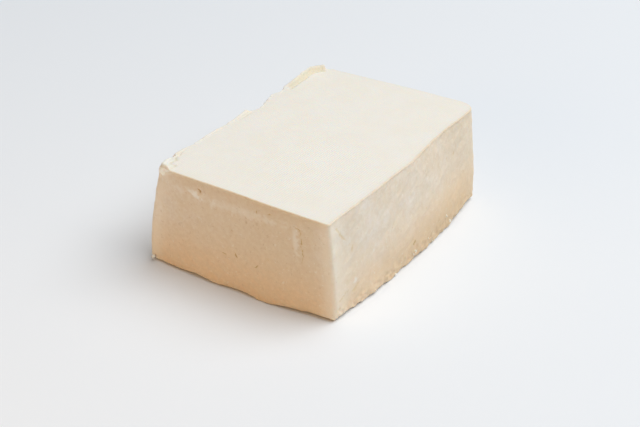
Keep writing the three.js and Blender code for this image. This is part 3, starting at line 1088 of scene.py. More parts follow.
@dataclass(frozen=True)
class Relief:
    """How deep each effect goes, as a share of the depth of the curd's grain."""

    pinholes: float = 0.7
    fissures: float = 0.6
    streaks: float = 0.25
    mottle: float = 1.1
    smoothed_by_skin: float = 0.8
    smoothed_by_drag: float = 0.6


BLOCK_FINISH = TofuFinish(
    name="cotton_tofu",
    flesh=(0.85, 0.79, 0.71), warm_patch_and_bounce=(0.765, 0.64, 0.48), painted_bounce_orange=(0.885, 0.615, 0.36),
    skin=(0.87, 0.865, 0.82), skin_warm=(0.865, 0.85, 0.785), fold=(0.745, 0.68, 0.515),
    shade=(0.66, 0.49, 0.31), rim=(0.45, 0.46, 0.30), streak=(0.79, 0.67, 0.49),
    worn=(0.93, 0.85, 0.70), drape=(0.99, 0.955, 0.86), pit_halo_shade=(0.74, 0.57, 0.31),
    pit=(0.45, 0.26, 0.08), smear=(0.89, 0.86, 0.79),
    roughness=0.55, roughness_range=(0.47, 0.65), specular=0.3, ior=1.38,
    subsurface=0.15, subsurface_radius=(1.0, 0.6, 0.36), subsurface_scale=0.0022,
    cloth_pitch=0.92 * MM, cloth_depth=0.09 * MM, curd_size=0.8 * MM, curd_depth=0.11 * MM,
    foot_bounce_height=28 * MM, foot_shade_from=3 * MM, foot_shade_to=19 * MM,
)


class NodeTree:
    """Short calls for placing and joining the nodes of one tree."""

    def __init__(self, tree: bpy.types.NodeTree) -> None:
        """Keeps the tree that the nodes go into."""
        self.tree = tree

    def add(self, kind: str, inputs: dict[str | int, object] | None = None,
            **settings: object) -> bpy.types.Node:
        """Places a node.

        Args:
            kind: the node's type name, without its ShaderNode.
            inputs: for each named or numbered input, a value or the socket that feeds it.
            settings: properties of the node.

        Returns:
            The node.
        """
        node = self.tree.nodes.new("ShaderNode" + kind)
        for key, value in settings.items():
            setattr(node, key, value)
        for key, value in (inputs or {}).items():
            if isinstance(value, bpy.types.NodeSocket):
                self.tree.links.new(value, node.inputs[key])
            else:
                node.inputs[key].default_value = value
        return node

    def maths(self, operation: str, *values: object, clamp: bool = False) -> bpy.types.NodeSocket:
        """The result of a Math node on the values."""
        node = self.add("Math", dict(enumerate(values)), operation=operation, use_clamp=clamp)
        return node.outputs[0]

    def part(self, mask: object, share: object) -> bpy.types.NodeSocket:
        """A share of a mask."""
        return self.maths("MULTIPLY", mask, share)

    def ramp(self, value: object, low: float, high: float, start: float = 0.0,
             end: float = 1.0) -> bpy.types.NodeSocket:
        """A smooth change from start at low to end at high."""
        inputs = {"Value": value, "From Min": low, "From Max": high, "To Min": start, "To Max": end}
        return self.add("MapRange", inputs, interpolation_type="SMOOTHSTEP").outputs[0]

    def mix(self, share: object, a: object, b: object) -> bpy.types.NodeSocket:
        """The colour a share of the way between two.

        Args:
            share: how much of b is in the mix, a number or a socket.
            a: the first colour, a tuple or a socket.
            b: the second colour, a tuple or a socket.

        Returns:
            The mixed colour.
        """
        node = self.add("Mix", data_type="RGBA")
        for socket, value in ((node.inputs[0], share), (node.inputs[6], a), (node.inputs[7], b)):
            if isinstance(value, bpy.types.NodeSocket):
                self.tree.links.new(value, socket)
            else:
                socket.default_value = (*value, 1.0) if isinstance(value, tuple) else value
        return node.outputs[2]

    def tinted(self, colour: object, *tints: tuple[object, object]) -> bpy.types.NodeSocket:
        """A colour with tints laid over it in turn.

        Args:
            colour: the colour underneath.
            tints: for each tint, how strong it is and its colour.

        Returns:
            The tinted colour.
        """
        for share, tint in tints:
            colour = self.mix(share, colour, tint)
        return colour

    def noise(self, place: object, scale: float, detail: float = 3.0,
              roughness: float = 0.55) -> bpy.types.NodeSocket:
        """Noise around 0.5 with so many bumps to the metre."""
        inputs = {"Vector": place, "Scale": scale, "Detail": detail, "Roughness": roughness}
        return self.add("TexNoise", inputs).outputs[0]


def new_group(name: str, inputs: dict[str, tuple[str, float]], outputs: dict[str, str]) -> tuple[
        bpy.types.NodeTree, NodeTree, bpy.types.Node, bpy.types.Node]:
    """Starts a shader node group.

    Args:
        name: the group's name.
        inputs: for each input its socket type and default value.
        outputs: for each output its socket type.

    Returns:
        The group, its node placer, and the nodes for its inputs and outputs.
    """
    group = bpy.data.node_groups.new(name, "ShaderNodeTree")
    for label, (kind, default) in inputs.items():
        socket = group.interface.new_socket(label, in_out="INPUT", socket_type=kind)
        if kind == "NodeSocketFloat":
            socket.default_value = default
    for label, kind in outputs.items():
        group.interface.new_socket(label, in_out="OUTPUT", socket_type=kind)
    source = group.nodes.new("NodeGroupInput")
    sink = group.nodes.new("NodeGroupOutput")
    return group, NodeTree(group), source, sink


def warped(nodes: NodeTree, place: bpy.types.NodeSocket, scale: object,
           reach: float) -> bpy.types.NodeSocket:
    """A place moved about by noise.

    Args:
        nodes: the node placer of the tree.
        place: the place to move.
        scale: how many turns of the noise go into a metre.
        reach: how far places are moved, in metres.

    Returns:
        The moved place.
    """
    sway = nodes.add("TexNoise", {"Vector": place, "Scale": scale, "Detail": 1.0}).outputs["Color"]
    shift = nodes.add("VectorMath", {0: sway, 1: (-0.5, -0.5, -0.5)}, operation="ADD").outputs[0]
    shift = nodes.add("VectorMath", {0: shift, "Scale": reach}, operation="SCALE").outputs[0]
    return nodes.add("VectorMath", {0: place, 1: shift}, operation="ADD").outputs[0]


@dataclass(frozen=True)
class CurdGrain:
    """The grain of pressed curd: lumps, patches of colour, pale flecks, pinholes, fissures and mottle.

    How close together things are is counted to a curd, or to a metre for the patches and the mottle.
    """

    lumps: float = 0.6
    lump_share: float = 0.6
    grit: float = 2.2
    grit_share: float = 0.4
    pinholes: float = 0.3
    pinhole_edge: tuple[float, float] = (0.05, 0.12)
    lot_spread: float = 7.3
    lots_without: float = 0.84
    fissures: float = 0.42
    fissure_edge: tuple[float, float] = (0.015, 0.08)
    fissure_sway: float = 0.5
    fissure_reach: float = 2.2 * MM
    torn_places: float = 0.5
    torn_place_edge: tuple[float, float] = (0.6, 0.68)
    flecks: float = 0.75
    fleck_edge: tuple[float, float] = (0.64, 0.78)
    patches: float = 110.0
    patch_edge: tuple[float, float] = (0.33, 0.67)
    mottle: float = 480.0
    mottle_sway: float = 300.0
    mottle_reach: float = 1.2 * MM

    def group(self) -> bpy.types.NodeTree:
        """Builds the shader group.

        Returns:
            A group that puts out Height and the masks Patches, Flecks, Pinholes, Fissures and Mottle.
        """
        masks = ("Patches", "Flecks", "Pinholes", "Fissures", "Mottle")
        group, nodes, source, sink = new_group(
            "curd_grain", {"Place": ("NodeSocketVector", 0.0), "Curd Size": ("NodeSocketFloat", MM)},
            {name: "NodeSocketFloat" for name in ("Height", *masks)},
        )
        place = source.outputs["Place"]
        curds = nodes.maths("DIVIDE", 1.0, source.outputs["Curd Size"])

        def scale(to_a_curd: float) -> bpy.types.NodeSocket:
            """The scale of a pattern with so many bumps to a curd."""
            return nodes.part(curds, to_a_curd)

        lumps = nodes.part(nodes.noise(place, scale(self.lumps), 2.0), self.lump_share)
        grit = nodes.part(nodes.noise(place, scale(self.grit), 2.0, 0.6), self.grit_share)

        cells = nodes.add("TexVoronoi", {"Vector": place, "Scale": scale(self.pinholes)}).outputs
        lot = nodes.maths("FRACT", nodes.part(cells["Color"], self.lot_spread))
        chosen = nodes.maths("GREATER_THAN", lot, self.lots_without)
        holes = nodes.part(nodes.ramp(cells["Distance"], *self.pinhole_edge, 1.0, 0.0), chosen)

        torn = warped(nodes, place, scale(self.fissure_sway), self.fissure_reach)
        edges = nodes.add("TexVoronoi", {"Vector": torn, "Scale": scale(self.fissures)},
                          feature="DISTANCE_TO_EDGE").outputs["Distance"]
        torn_places = nodes.ramp(nodes.noise(place, scale(self.torn_places), 2.0), *self.torn_place_edge)
        fissures = nodes.part(nodes.ramp(edges, *self.fissure_edge, 1.0, 0.0), torn_places)

        swayed = warped(nodes, place, self.mottle_sway, self.mottle_reach)
        for name, value in zip(("Height", *masks), (
            nodes.maths("ADD", lumps, grit),
            nodes.ramp(nodes.noise(place, self.patches, 5.0, 0.62), *self.patch_edge),
            nodes.ramp(nodes.noise(place, scale(self.flecks), 1.0), *self.fleck_edge),
            holes, fissures, nodes.noise(swayed, self.mottle, 2.0, 0.5),
        )):
            group.links.new(value, sink.inputs[name])
        return group


@dataclass(frozen=True)
class KnifeDrag:
    """Slanting streaks and broader smudges that a knife leaves where it drags at the curd."""

    streak_size: tuple[float, float, float] = (3.6 * MM, 3.0 * MM, 0.75 * MM)
    streak_edge: tuple[float, float] = (0.3, 0.7)
    smudge_scale: float = 0.45
    smudge_edge: tuple[float, float] = (0.32, 0.68)

    def group(self) -> bpy.types.NodeTree:
        """Builds the shader group.

        Returns:
            A group that puts out the masks Streaks and Smudges.
        """
        group, nodes, source, sink = new_group(
            "knife_drag", {"Place": ("NodeSocketVector", 0.0), "Slant": ("NodeSocketVector", 0.0)},
            {"Streaks": "NodeSocketFloat", "Smudges": "NodeSocketFloat"},
        )
        place = nodes.add("Mapping", {
            "Vector": source.outputs["Place"], "Rotation": source.outputs["Slant"],
            "Scale": self.streak_size}, vector_type="TEXTURE").outputs[0]
        streaks = nodes.ramp(nodes.noise(place, 1.0, 3.0, 0.6), *self.streak_edge)
        smudges = nodes.ramp(nodes.noise(place, self.smudge_scale, 3.0, 0.55), *self.smudge_edge)
        group.links.new(streaks, sink.inputs["Streaks"])
        group.links.new(smudges, sink.inputs["Smudges"])
        return group


@dataclass(frozen=True)
class ClothImprint:
    """The print of the pressing cloth: fine threads that cross, and rows of faint pale spots."""

    sway: float = 35.0
    sway_reach: float = 0.8 * MM
    ribs: tuple[tuple[int, float, float], ...] = ((1, 1.0, 0.66), (0, 0.93, 0.34))
    clear_places: float = 60.0
    clear_place_edge: tuple[float, float] = (0.28, 0.6)
    faintest: float = 0.75
    fades_along_x: tuple[float, float] = (-45 * MM, 50 * MM)
    left_at_far_end: float = 0.6
    spot_pitch: float = 10.5 * MM
    spot_offsets: tuple[float, float] = (49.3 * MM, 3.5 * MM)
    spot_edge: tuple[float, float] = (0.05, 0.16)

    def group(self) -> bpy.types.NodeTree:
        """Builds the shader group.

        Returns:
            A group that puts out Height and the mask Spots.
        """
        group, nodes, source, sink = new_group(
            "cloth_imprint", {"Place": ("NodeSocketVector", 0.0), "Pitch": ("NodeSocketFloat", MM)},
            {"Height": "NodeSocketFloat", "Spots": "NodeSocketFloat"},
        )
        place = source.outputs["Place"]
        axes = nodes.add("SeparateXYZ", {0: warped(nodes, place, self.sway, self.sway_reach)}).outputs
        turns = nodes.maths("DIVIDE", math.tau, source.outputs["Pitch"])
        ribs = []
        for axis, stretch, share in self.ribs:
            wave = nodes.maths("SINE", nodes.part(nodes.part(axes[axis], turns), stretch))
            ribs.append(nodes.part(nodes.maths("MULTIPLY_ADD", wave, 0.5, 0.5), share))
        clear = nodes.ramp(nodes.noise(place, self.clear_places, 3.0), *self.clear_place_edge,
                           self.faintest, 1.0)
        clear = nodes.part(clear, nodes.ramp(axes[0], *self.fades_along_x, 1.0, self.left_at_far_end))
        lattice = []
        for axis, offset in enumerate(self.spot_offsets):
            steps = nodes.maths("DIVIDE", nodes.maths("ADD", axes[axis], offset), self.spot_pitch)
            step = nodes.maths("FRACT", nodes.maths("ADD", steps, 0.5))
            lattice.append(nodes.maths("POWER", nodes.maths("SUBTRACT", step, 0.5), 2.0))
        away = nodes.maths("SQRT", nodes.maths("ADD", *lattice))
        group.links.new(nodes.part(nodes.maths("ADD", *ribs), clear), sink.inputs["Height"])
        group.links.new(nodes.ramp(away, *self.spot_edge, 1.0, 0.0), sink.inputs["Spots"])
        return group


@dataclass
class TofuMaterials:
    """Builds the tofu's materials around the shared groups."""

    grain: bpy.types.NodeTree = field(default_factory=CurdGrain().group)
    imprint: bpy.types.NodeTree = field(default_factory=ClothImprint().group)
    drag: bpy.types.NodeTree = field(default_factory=KnifeDrag().group)
    drag_slant: tuple[float, float, float] = (27.0, -18.0, 0.0)
    crumb_grain: float = 0.6
    tint: Tint = Tint()
    relief: Relief = Relief()

    def start(self, finish: TofuFinish, name: str) -> tuple[bpy.types.Material, NodeTree, bpy.types.Node]:
        """Starts a material with a Principled shader that holds the finish's even values.

        Args:
            finish: where the values come from.
            name: the material's name.

        Returns:
            The material, its node placer and its shader.
        """
        material = bpy.data.materials.new(name)
        material.use_nodes = True
        tree = material.node_tree
        shader = tree.nodes["Principled BSDF"]
        shader.subsurface_method = "RANDOM_WALK"
        for socket, value in (
            ("Roughness", finish.roughness), ("Specular IOR Level", finish.specular),
            ("Subsurface Weight", finish.subsurface), ("Subsurface Scale", finish.subsurface_scale),
            ("Subsurface Radius", finish.subsurface_radius), ("IOR", finish.ior),
        ):
            shader.inputs[socket].default_value = value
        return material, NodeTree(tree), shader

    def place_group(self, nodes: NodeTree, group: bpy.types.NodeTree, **inputs: object) -> bpy.types.Node:
        """Places a shared group with its own values.

        Args:
            nodes: the node placer of the material.
            group: the shared group.
            inputs: a value or a socket for each named input, with _ for a space.

        Returns:
            The group's node.
        """
        node = nodes.tree.nodes.new("ShaderNodeGroup")
        node.node_tree = group
        for name, value in inputs.items():
            socket = node.inputs[name.replace("_", " ")]
            if isinstance(value, bpy.types.NodeSocket):
                nodes.tree.links.new(value, socket)
            else:
                socket.default_value = value
        return node

    def block(self, finish: TofuFinish) -> bpy.types.Material:
        """The finish of the whole block, with its skin, cut flesh, folds, pits and smears.

        Args:
            finish: the colours and surface.

        Returns:
            The material.
        """
        material, nodes, shader = self.start(finish, finish.name)
        tint, relief = self.tint, self.relief
        place = nodes.add("TexCoord").outputs["Object"]
        masks = {mark: nodes.add("Attribute", attribute_name=mark.value).outputs["Fac"] for mark in Mark}
        grain = self.place_group(nodes, self.grain, Place=place, Curd_Size=finish.curd_size).outputs
        imprint = self.place_group(nodes, self.imprint, Place=place, Pitch=finish.cloth_pitch).outputs
        slant = tuple(math.radians(turn) for turn in self.drag_slant)
        knife = self.place_group(nodes, self.drag, Place=place, Slant=slant).outputs
        height = nodes.add("SeparateXYZ", {0: place}).outputs["Z"]
        skin, pit = masks[Mark.SKIN], masks[Mark.PIT]
        dragged = nodes.part(knife["Streaks"], masks[Mark.DRAG])
        still = nodes.maths("SUBTRACT", 1.0, nodes.part(masks[Mark.DRAG], relief.smoothed_by_drag))
        torn = nodes.part(grain["Fissures"], still)

        # Painted orange bounce light, strongest at the foot and fading out upwards.
        soaked = nodes.part(nodes.ramp(height, 0.0, finish.foot_bounce_height, 1.0, 0.0), masks[Mark.SOAKED])
        # Painted shade low on the foot.
        dusk = nodes.part(nodes.ramp(height, finish.foot_shade_from, finish.foot_shade_to, 1.0, 0.0), masks[Mark.DUSK])
        smudged = nodes.ramp(masks[Mark.DRAG], 0.2, 1.0, tint.smudges, tint.smudges_where_dragged)
        flesh = nodes.tinted(
            finish.flesh,
            (nodes.part(grain["Patches"], tint.patches), finish.warm_patch_and_bounce),
            # Painted warm bounce light over a side, strongest on the shaded -X side.
            (masks[Mark.WARMTH], finish.warm_patch_and_bounce),
            # Painted orange bounce light near the foot.
            (soaked, finish.painted_bounce_orange),
            # Painted shade at the foot.
            (dusk, finish.shade),
            (nodes.ramp(grain["Mottle"], 0.35, 0.65, tint.mottle, 0.0), finish.shade),
            (nodes.part(knife["Smudges"], smudged), finish.streak),
            (nodes.part(dragged, tint.streaks), finish.streak),
            (nodes.part(nodes.ramp(grain["Height"], 0.36, 0.64, tint.grit, 0.0), still), finish.shade),
            (nodes.part(grain["Flecks"], tint.flecks), finish.smear),
            # A painted pale glow by the upright edges.
            (nodes.part(masks[Mark.WORN], tint.worn), finish.worn),
            # Painted shade in the grain's pinholes and fissures.
            (nodes.part(grain["Pinholes"], tint.pinholes), finish.pit),
            (nodes.part(torn, tint.fissures), finish.pit),
        )
        top = nodes.tinted(
            finish.skin,
            (grain["Patches"], finish.skin_warm),
            (nodes.part(imprint["Spots"], tint.cloth_spots), finish.smear),
            # Painted shade in the hollows of the cloth's weave.
            (nodes.ramp(imprint["Height"], 0.0, 0.9, tint.painted_weave_shade, 0.0), finish.shade),
        )
        colour = nodes.tinted(
            flesh,
            (skin, top),
            # Painted shade along the rim, olive on the top and brown on the sides.
            (nodes.part(masks[Mark.RIM], tint.rim), nodes.mix(skin, finish.shade, finish.rim)),
            # The torn skin's yellowish fold, partly painted shade on its inner wall and in the crease.
            (nodes.part(masks[Mark.FOLD], tint.fold), finish.fold),
            # Painted light on the turned-down tongue, which stands in shade.
            (masks[Mark.DRAPE], finish.drape),
            (masks[Mark.SMEAR], finish.smear),
            # Painted shade round and in pits and cracks.
            (nodes.ramp(pit, 0.0, 0.6, 0.0, tint.pit_halo_shade), finish.pit_halo_shade),
            (nodes.ramp(pit, 0.35, 1.0, 0.0, tint.pit), finish.pit),
        )
        nodes.tree.links.new(colour, shader.inputs["Base Color"])
        gloss = nodes.ramp(grain["Height"], 0.3, 0.7, *finish.roughness_range)
        nodes.tree.links.new(gloss, shader.inputs["Roughness"])

        rough = grain["Height"]
        for effect, depth in ((grain["Pinholes"], relief.pinholes), (torn, relief.fissures),
                              (dragged, relief.streaks)):
            rough = nodes.maths("SUBTRACT", rough, nodes.part(effect, depth))
        rough = nodes.maths("ADD", rough, nodes.part(grain["Mottle"], relief.mottle))
        cut = nodes.maths("SUBTRACT", 1.0, nodes.part(skin, relief.smoothed_by_skin))
        rough = nodes.part(nodes.part(rough, cut), finish.curd_depth)
        woven = nodes.part(nodes.part(imprint["Height"], skin), finish.cloth_depth)
        self.emboss(nodes, shader, nodes.maths("ADD", rough, woven))
        return material

    def emboss(self, nodes: NodeTree, shader: bpy.types.Node, height: bpy.types.NodeSocket) -> None:
        """Leads a height in metres to the shader's normal."""
        bump = nodes.add("Bump", {"Height": height, "Distance": 1.0, "Strength": 1.0})
        nodes.tree.links.new(bump.outputs[0], shader.inputs["Normal"])

    def crumb(self, finish: TofuFinish) -> bpy.types.Material:
        """The paler finish of loose curd.

        Args:
            finish: the colours and surface of the block that the crumbs come from.

        Returns:
            The material.
        """
        material, nodes, shader = self.start(finish, finish.name + "_crumb")
        place = nodes.add("TexCoord").outputs["Object"]
        size = finish.curd_size * self.crumb_grain
        grain = self.place_group(nodes, self.grain, Place=place, Curd_Size=size).outputs
        # The crumbs' own pale peach, the same colour as the painted glow by the upright edges.
        colour = nodes.mix(grain["Patches"], finish.worn, finish.smear)
        nodes.tree.links.new(colour, shader.inputs["Base Color"])
        self.emboss(nodes, shader, nodes.part(grain["Height"], finish.curd_depth))
        return material


# --- pieces -----------------------------------------------------------------------------------------


@dataclass
class TofuBlock:
    """The block of tofu as one closed mesh that stands for its solid."""

    form: BlockForm = field(default_factory=BlockForm)
    edge_cell: float = 0.36
    cell: float = 0.94
    edge_band: float = 3.2
    growth: float = 1.18
    base_kept: float = 4.5
    mark_margin: float = 0.7
    seen_cell: float = 0.3
    mark_cell: float = 0.1
    torn_width: float = 5.5
    torn_height: float = 3.0
    near: float = 0.01

    def ticks(self, size: float) -> np.ndarray:
        """Places of the cuts along an edge of the box, closer together near its ends.

        Args:
            size: length of the edge.

        Returns:
            Places from minus half the size to half the size.
        """
        steps, gone = [], 0.0
        while gone < size / 2:
            steps.append(self.edge_cell if gone < self.edge_band else min(self.cell, steps[-1] * self.growth))
            gone += steps[-1]
        half = np.concatenate([[0.0], np.cumsum(steps)]) * (size / 2 / gone)
        return np.concatenate([half - size / 2, (size / 2 - half)[-2::-1]])

    def cut_box(self) -> bmesh.types.BMesh:
        """Makes a box cut into small cells.

        Returns:
            The box, the size of the block in millimetres, with its foot at z 0.
        """
        form = self.form
        sizes = (2 * form.half_length, 2 * form.half_width, form.height)
        mesh = bmesh.new()
        bmesh.ops.create_cube(mesh, size=1.0)
        for axis, size in enumerate(sizes):
            ticks = self.ticks(size)
            whole = [e for e in mesh.edges if abs(e.verts[0].co[axis] - e.verts[1].co[axis]) > 1 - HAIR]
            bmesh.ops.subdivide_edges(mesh, edges=whole, cuts=len(ticks) - 2, use_grid_fill=True)
            for vert in mesh.verts:
                vert.co[axis] = ticks[round((vert.co[axis] + 0.5) * (len(ticks) - 1))] / size
        bmesh.ops.transform(mesh, matrix=Matrix.Diagonal((*sizes, 1.0)), verts=mesh.verts)
        bmesh.ops.translate(mesh, vec=(0, 0, form.height / 2), verts=mesh.verts)
        return mesh

    def refine(self, mesh: bmesh.types.BMesh, wanted: Callable[[np.ndarray], np.ndarray],
               smallest: float) -> None:
        """Cuts the cells whose middles are wanted in four.

        Args:
            mesh: the box of cells.
            wanted: a function that takes the middles, one row each, and tells which it wants.
            smallest: cells with a smaller area in square millimetres stay whole.
        """
        faces = [f for f in mesh.faces if len(f.verts) == 4 and f.calc_area() > smallest]
        middles = np.array([f.calc_center_median() for f in faces])
        chosen = {faces[i] for i in np.flatnonzero(wanted(middles))}
        edges = {e for f in chosen for e in f.edges}
        bmesh.ops.subdivide_edges(mesh, edges=list(edges), cuts=1, use_grid_fill=True)

    def seen_sides(self, middles: np.ndarray) -> np.ndarray:
        """Tells which cells lie on the two cut sides or along the torn skin.

        Args:
            middles: the middles of the cells, one row each.

        Returns:
            True for each cell that does.
        """
        form = self.form
        x, y, z = middles.T
        cut_sides = (x < -form.half_length + self.near) | (y < -form.half_width + self.near)
        torn = (y > form.half_width - self.torn_width) & (z > form.height - self.torn_height)
        return (z > self.near) & (cut_sides | torn)

    def near_marks(self, middles: np.ndarray) -> np.ndarray:
        """Tells which cells lie on or close to a pore or a crack.

        Args:
            middles: the middles of the cells, one row each.

        Returns:
            True for each cell that does.
        """
        where, out = self.form.perimeter(middles)
        edge, _ = where.outline(self.form.level(middles[:, 2]))
        close = np.zeros(len(middles), bool)
        for face in Face:
            here = np.flatnonzero(where.on(face) & (out > 1 - HAIR))
            spots = np.column_stack([edge[here][:, face.axis], middles[here][:, 2]])
            for crack in CRACKS[face]:
                close[here] |= crack.distance(spots)[0] < crack.width / 2 + self.mark_margin
            for pore in PORES[face]:
                close[here] |= pore.distance(spots, self.mark_margin) < 1
        return close

    def build(self) -> bpy.types.Object:
        """Builds the block.

        Returns:
            The block's object, with an attribute for each mark.
        """
        form = self.form
        mesh = self.cut_box()
        self.refine(mesh, self.seen_sides, self.cell ** 2 * self.seen_cell)
        self.refine(mesh, self.near_marks, self.cell ** 2 * self.mark_cell)
        reach_x, reach_y = form.half_length - self.base_kept, form.half_width - self.base_kept
        base = [face for face in mesh.faces if all(
            v.co.z < self.near and abs(v.co.x) <= reach_x and abs(v.co.y) <= reach_y for v in face.verts)]
        bmesh.ops.dissolve_faces(mesh, faces=base, use_verts=True)
        bmesh.ops.recalc_face_normals(mesh, faces=mesh.faces)
        data = bpy.data.meshes.new("curd_block")
        mesh.to_mesh(data)
        mesh.free()
        box = np.zeros(len(data.vertices) * 3)
        data.vertices.foreach_get("co", box)
        placed = form.place(box.reshape(-1, 3))
        low, high = (np.array(corner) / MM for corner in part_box(NODE))
        points = np.clip(placed["points"], low, high) * MM
        data.vertices.foreach_set("co", points.ravel())
        for mark in Mark:
            data.attributes.new(mark.value, "FLOAT", "POINT").data.foreach_set("value", placed[mark.value])
        data.shade_smooth()
        data.update()
        return new_piece("curd_block", data)


@dataclass
class Crumbs:
    """Loose curd that clings to the lower edges, all round but for the clean -X side."""

    seed: int = 5
    count: int = 26
    crumbly_turn: tuple[float, float] = (0.85, 5.43)
    largest: float = 0.65
    smallest_share: float = 0.35
    lowest: float = 0.8
    usual_rise: float = 2.2
    stands_out: tuple[float, float] = (-0.1, 0.35)
    stretch: tuple[float, float] = (0.65, 1.15)
    lump_height: float = 0.22
    lump_turns: float = 2.2
    foot_crumb: tuple[float, float, float] = (-55.6, 40.4, 2.1)
    foot_crumb_size: float = 0.95

    def build(self, block: bpy.types.Object, form: BlockForm) -> bpy.types.Object:
        """Builds all the crumbs as one piece.

        Args:
            block: the block that they cling to.
            form: the block's form.

        Returns:
            The crumbs' object.
        """
        chance = np.random.default_rng(self.seed)
        surface = surface_of(block)
        mesh = bmesh.new()
        for _ in range(self.count):
            turn = math.pi + chance.uniform(*self.crumbly_turn)
            height = self.lowest + chance.exponential(self.usual_rise)
            x, y = 2 * form.half_length * math.cos(turn), 2 * form.half_width * math.sin(turn)
            self.cling(mesh, surface, Vector((x, y, height)), Vector((0, 0, height)), chance)
        self.add_crumb(mesh, Vector(self.foot_crumb), self.foot_crumb_size, chance)
        low, high = (np.array(corner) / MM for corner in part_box(NODE))
        for vert in mesh.verts:
            vert.co = Vector(np.clip(vert.co, low, high)) * MM
        data = bpy.data.meshes.new("curd_crumbs")
        mesh.to_mesh(data)
        mesh.free()
        data.shade_smooth()
        return new_piece("curd_crumbs", data)

    def cling(self, mesh: bmesh.types.BMesh, surface: BVHTree, start: Vector, aim: Vector,
              chance: np.random.Generator) -> None:
        """Adds a crumb where a line meets the block.

        Args:
            mesh: the mesh that all crumbs go into.
            surface: the block's surface.
            start: where the line starts.
            aim: where it goes.
            chance: where the crumb's size comes from.
        """
        size = self.largest * chance.uniform(self.smallest_share, 1.0)
        hit, normal, _, _ = surface.ray_cast(start, (aim - start).normalized())
        if hit:
            self.add_crumb(mesh, hit + normal * size * chance.uniform(*self.stands_out), size, chance)

    def add_crumb(self, mesh: bmesh.types.BMesh, at: Vector, size: float,
                  chance: np.random.Generator) -> None:
        """Adds one lumpy crumb.

        Args:
            mesh: the mesh that all crumbs go into.
            at: the crumb's middle.
            size: its radius.
            chance: where its lumps come from.
        """
        lump = bmesh.ops.create_icosphere(mesh, subdivisions=2, radius=size)["verts"]
        stretch = Vector(chance.uniform(*self.stretch, 3))
        bumps = [Vector(bump) for bump in chance.normal(0, 1, (4, 3))]
        for vert in lump:
            waves = sum(math.sin(self.lump_turns * vert.co.dot(bump) / size + i)
                        for i, bump in enumerate(bumps))
            vert.co = Vector(vert.co * (1 + self.lump_height * waves / 2)) * stretch + at


def surface_of(block: bpy.types.Object) -> BVHTree:
    """Makes a search tree over a piece's mesh.

    Args:
        block: the piece.

    Returns:
        The tree, in millimetres.
    """
    mesh = bmesh.new()
    mesh.from_mesh(block.data)
    bmesh.ops.scale(mesh, vec=(1 / MM,) * 3, verts=mesh.verts)
    tree = BVHTree.FromBMesh(mesh)
    mesh.free()
    return tree


def new_piece(name: str, data: bpy.types.Mesh) -> bpy.types.Object:
    """Puts a finished mesh into the scene.

    Args:
        name: the piece's name.
        data: its mesh.

    Returns:
        Its object, at the origin.
    """
    piece = bpy.data.objects.new(name, data)
    bpy.context.scene.collection.objects.link(piece)
    return piece


# --- studio -----------------------------------------------------------------------------------------


@dataclass(frozen=True)
class SoftLight:
    """A square soft light that points at a place, in metres and watts."""

    name: str
    at: tuple[float, float, float]
    aim: tuple[float, float, float]
    size: float
    power: float
    colour: tuple[float, float, float]


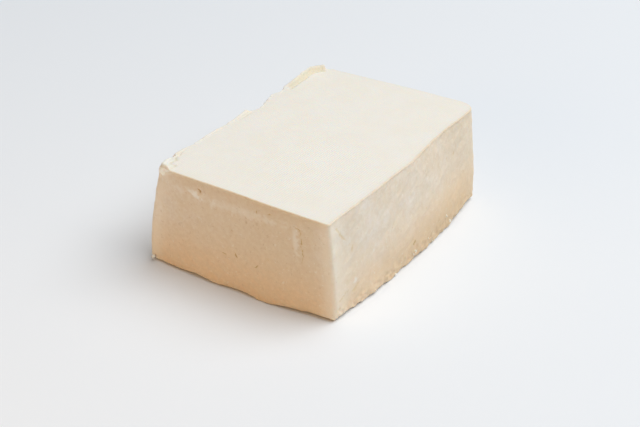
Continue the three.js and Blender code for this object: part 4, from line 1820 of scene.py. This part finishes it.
@dataclass
class Studio:
    """A pale floor, soft lights and the camera, with the camera's target and distance in millimetres."""

    floor_radius: float = 2.5
    floor_corners: int = 96
    floor_colour: tuple[float, float, float] = (0.81, 0.85, 0.90)
    floor_roughness: float = 0.8
    floor_specular: float = 0.2
    sky_colour: tuple[float, float, float] = (0.92, 0.96, 1.0)
    sky_strength: float = 0.21
    azimuth: float = -57.408
    elevation: float = 30.0
    distance: float = 525.35
    target: tuple[float, float, float] = (-20.85, -12.88, 20.64)
    lens: float = 78.75
    sensor: float = 36.0
    clip: tuple[float, float] = (0.01, 20.0)
    lights: tuple[SoftLight, ...] = (
        SoftLight("key", at=(0.48, -0.8, 1.85), aim=(0, 0, 0), size=2.0, power=47.5,
                  colour=(1.0, 0.99, 0.97)),
        SoftLight("fill", at=(-0.6, 0.13, 0.14), aim=(-0.05, 0.01, 0.02), size=0.4, power=1.05,
                  colour=(1.0, 0.56, 0.16)),
    )

    def build(self) -> None:
        """Builds the floor, the lights and the camera."""
        self.build_floor()
        self.build_sky()
        for light in self.lights:
            self.build_light(light)
        self.build_camera()

    def build_floor(self) -> None:
        """Lays a round floor of plain pale card."""
        mesh = bmesh.new()
        bmesh.ops.create_circle(mesh, cap_ends=True, segments=self.floor_corners, radius=self.floor_radius)
        data = bpy.data.meshes.new("floor")
        mesh.to_mesh(data)
        mesh.free()
        floor = new_piece("floor", data)
        material = bpy.data.materials.new("pale_card")
        material.use_nodes = True
        shader = material.node_tree.nodes["Principled BSDF"]
        shader.inputs["Base Color"].default_value = (*self.floor_colour, 1.0)
        shader.inputs["Roughness"].default_value = self.floor_roughness
        shader.inputs["Specular IOR Level"].default_value = self.floor_specular
        data.materials.append(material)

    def build_sky(self) -> None:
        """Sets the even light that comes from all round."""
        world = bpy.data.worlds.new("studio")
        world.use_nodes = True
        background = world.node_tree.nodes["Background"]
        background.inputs["Color"].default_value = (*self.sky_colour, 1.0)
        background.inputs["Strength"].default_value = self.sky_strength
        bpy.context.scene.world = world

    def build_light(self, light: SoftLight) -> None:
        """Hangs a soft light.

        Args:
            light: its place, size, power and colour.
        """
        data = bpy.data.lights.new(light.name, "AREA")
        data.shape, data.size, data.energy, data.color = "SQUARE", light.size, light.power, light.colour
        lamp = bpy.data.objects.new(light.name, data)
        lamp.location = light.at
        lamp.rotation_euler = (Vector(light.aim) - Vector(light.at)).to_track_quat("-Z", "Y").to_euler()
        bpy.context.scene.collection.objects.link(lamp)

    def build_camera(self) -> None:
        """Sets up the camera on the line of view."""
        data = bpy.data.cameras.new("camera")
        data.lens, data.sensor_width, data.sensor_fit = self.lens, self.sensor, "HORIZONTAL"
        data.clip_start, data.clip_end = self.clip
        camera = bpy.data.objects.new("camera", data)
        turn, rise = math.radians(self.azimuth), math.radians(self.elevation)
        back = Vector((math.sin(turn) * math.cos(rise), -math.cos(turn) * math.cos(rise), math.sin(rise)))
        camera.location = (Vector(self.target) + back * self.distance) * MM
        camera.rotation_euler = (-back).to_track_quat("-Z", "Y").to_euler()
        bpy.context.scene.collection.objects.link(camera)
        bpy.context.scene.camera = camera


def report(piece: bpy.types.Object) -> None:
    """Logs a piece's faces and size."""
    size = [round(side / MM, 1) for side in piece.dimensions]
    log.info("%s: %d faces, %s mm", piece.name, len(piece.data.polygons), size)


def main() -> None:
    """Builds and dresses the pieces, then sets up the studio."""
    logging.basicConfig(level=logging.INFO, format="%(name)s: %(message)s")
    bpy.context.scene.view_settings.view_transform = "Standard"
    materials = TofuMaterials()

    tofu = TofuBlock()
    block = tofu.build()
    block.data.materials.append(materials.block(BLOCK_FINISH))
    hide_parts(NODE)
    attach(block, BODY)
    report(block)

    crumbs = Crumbs().build(block, tofu.form)
    crumbs.data.materials.append(materials.crumb(BLOCK_FINISH))
    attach(crumbs, BODY)
    report(crumbs)

    Studio().build()


if __name__ == "__main__":
    main()
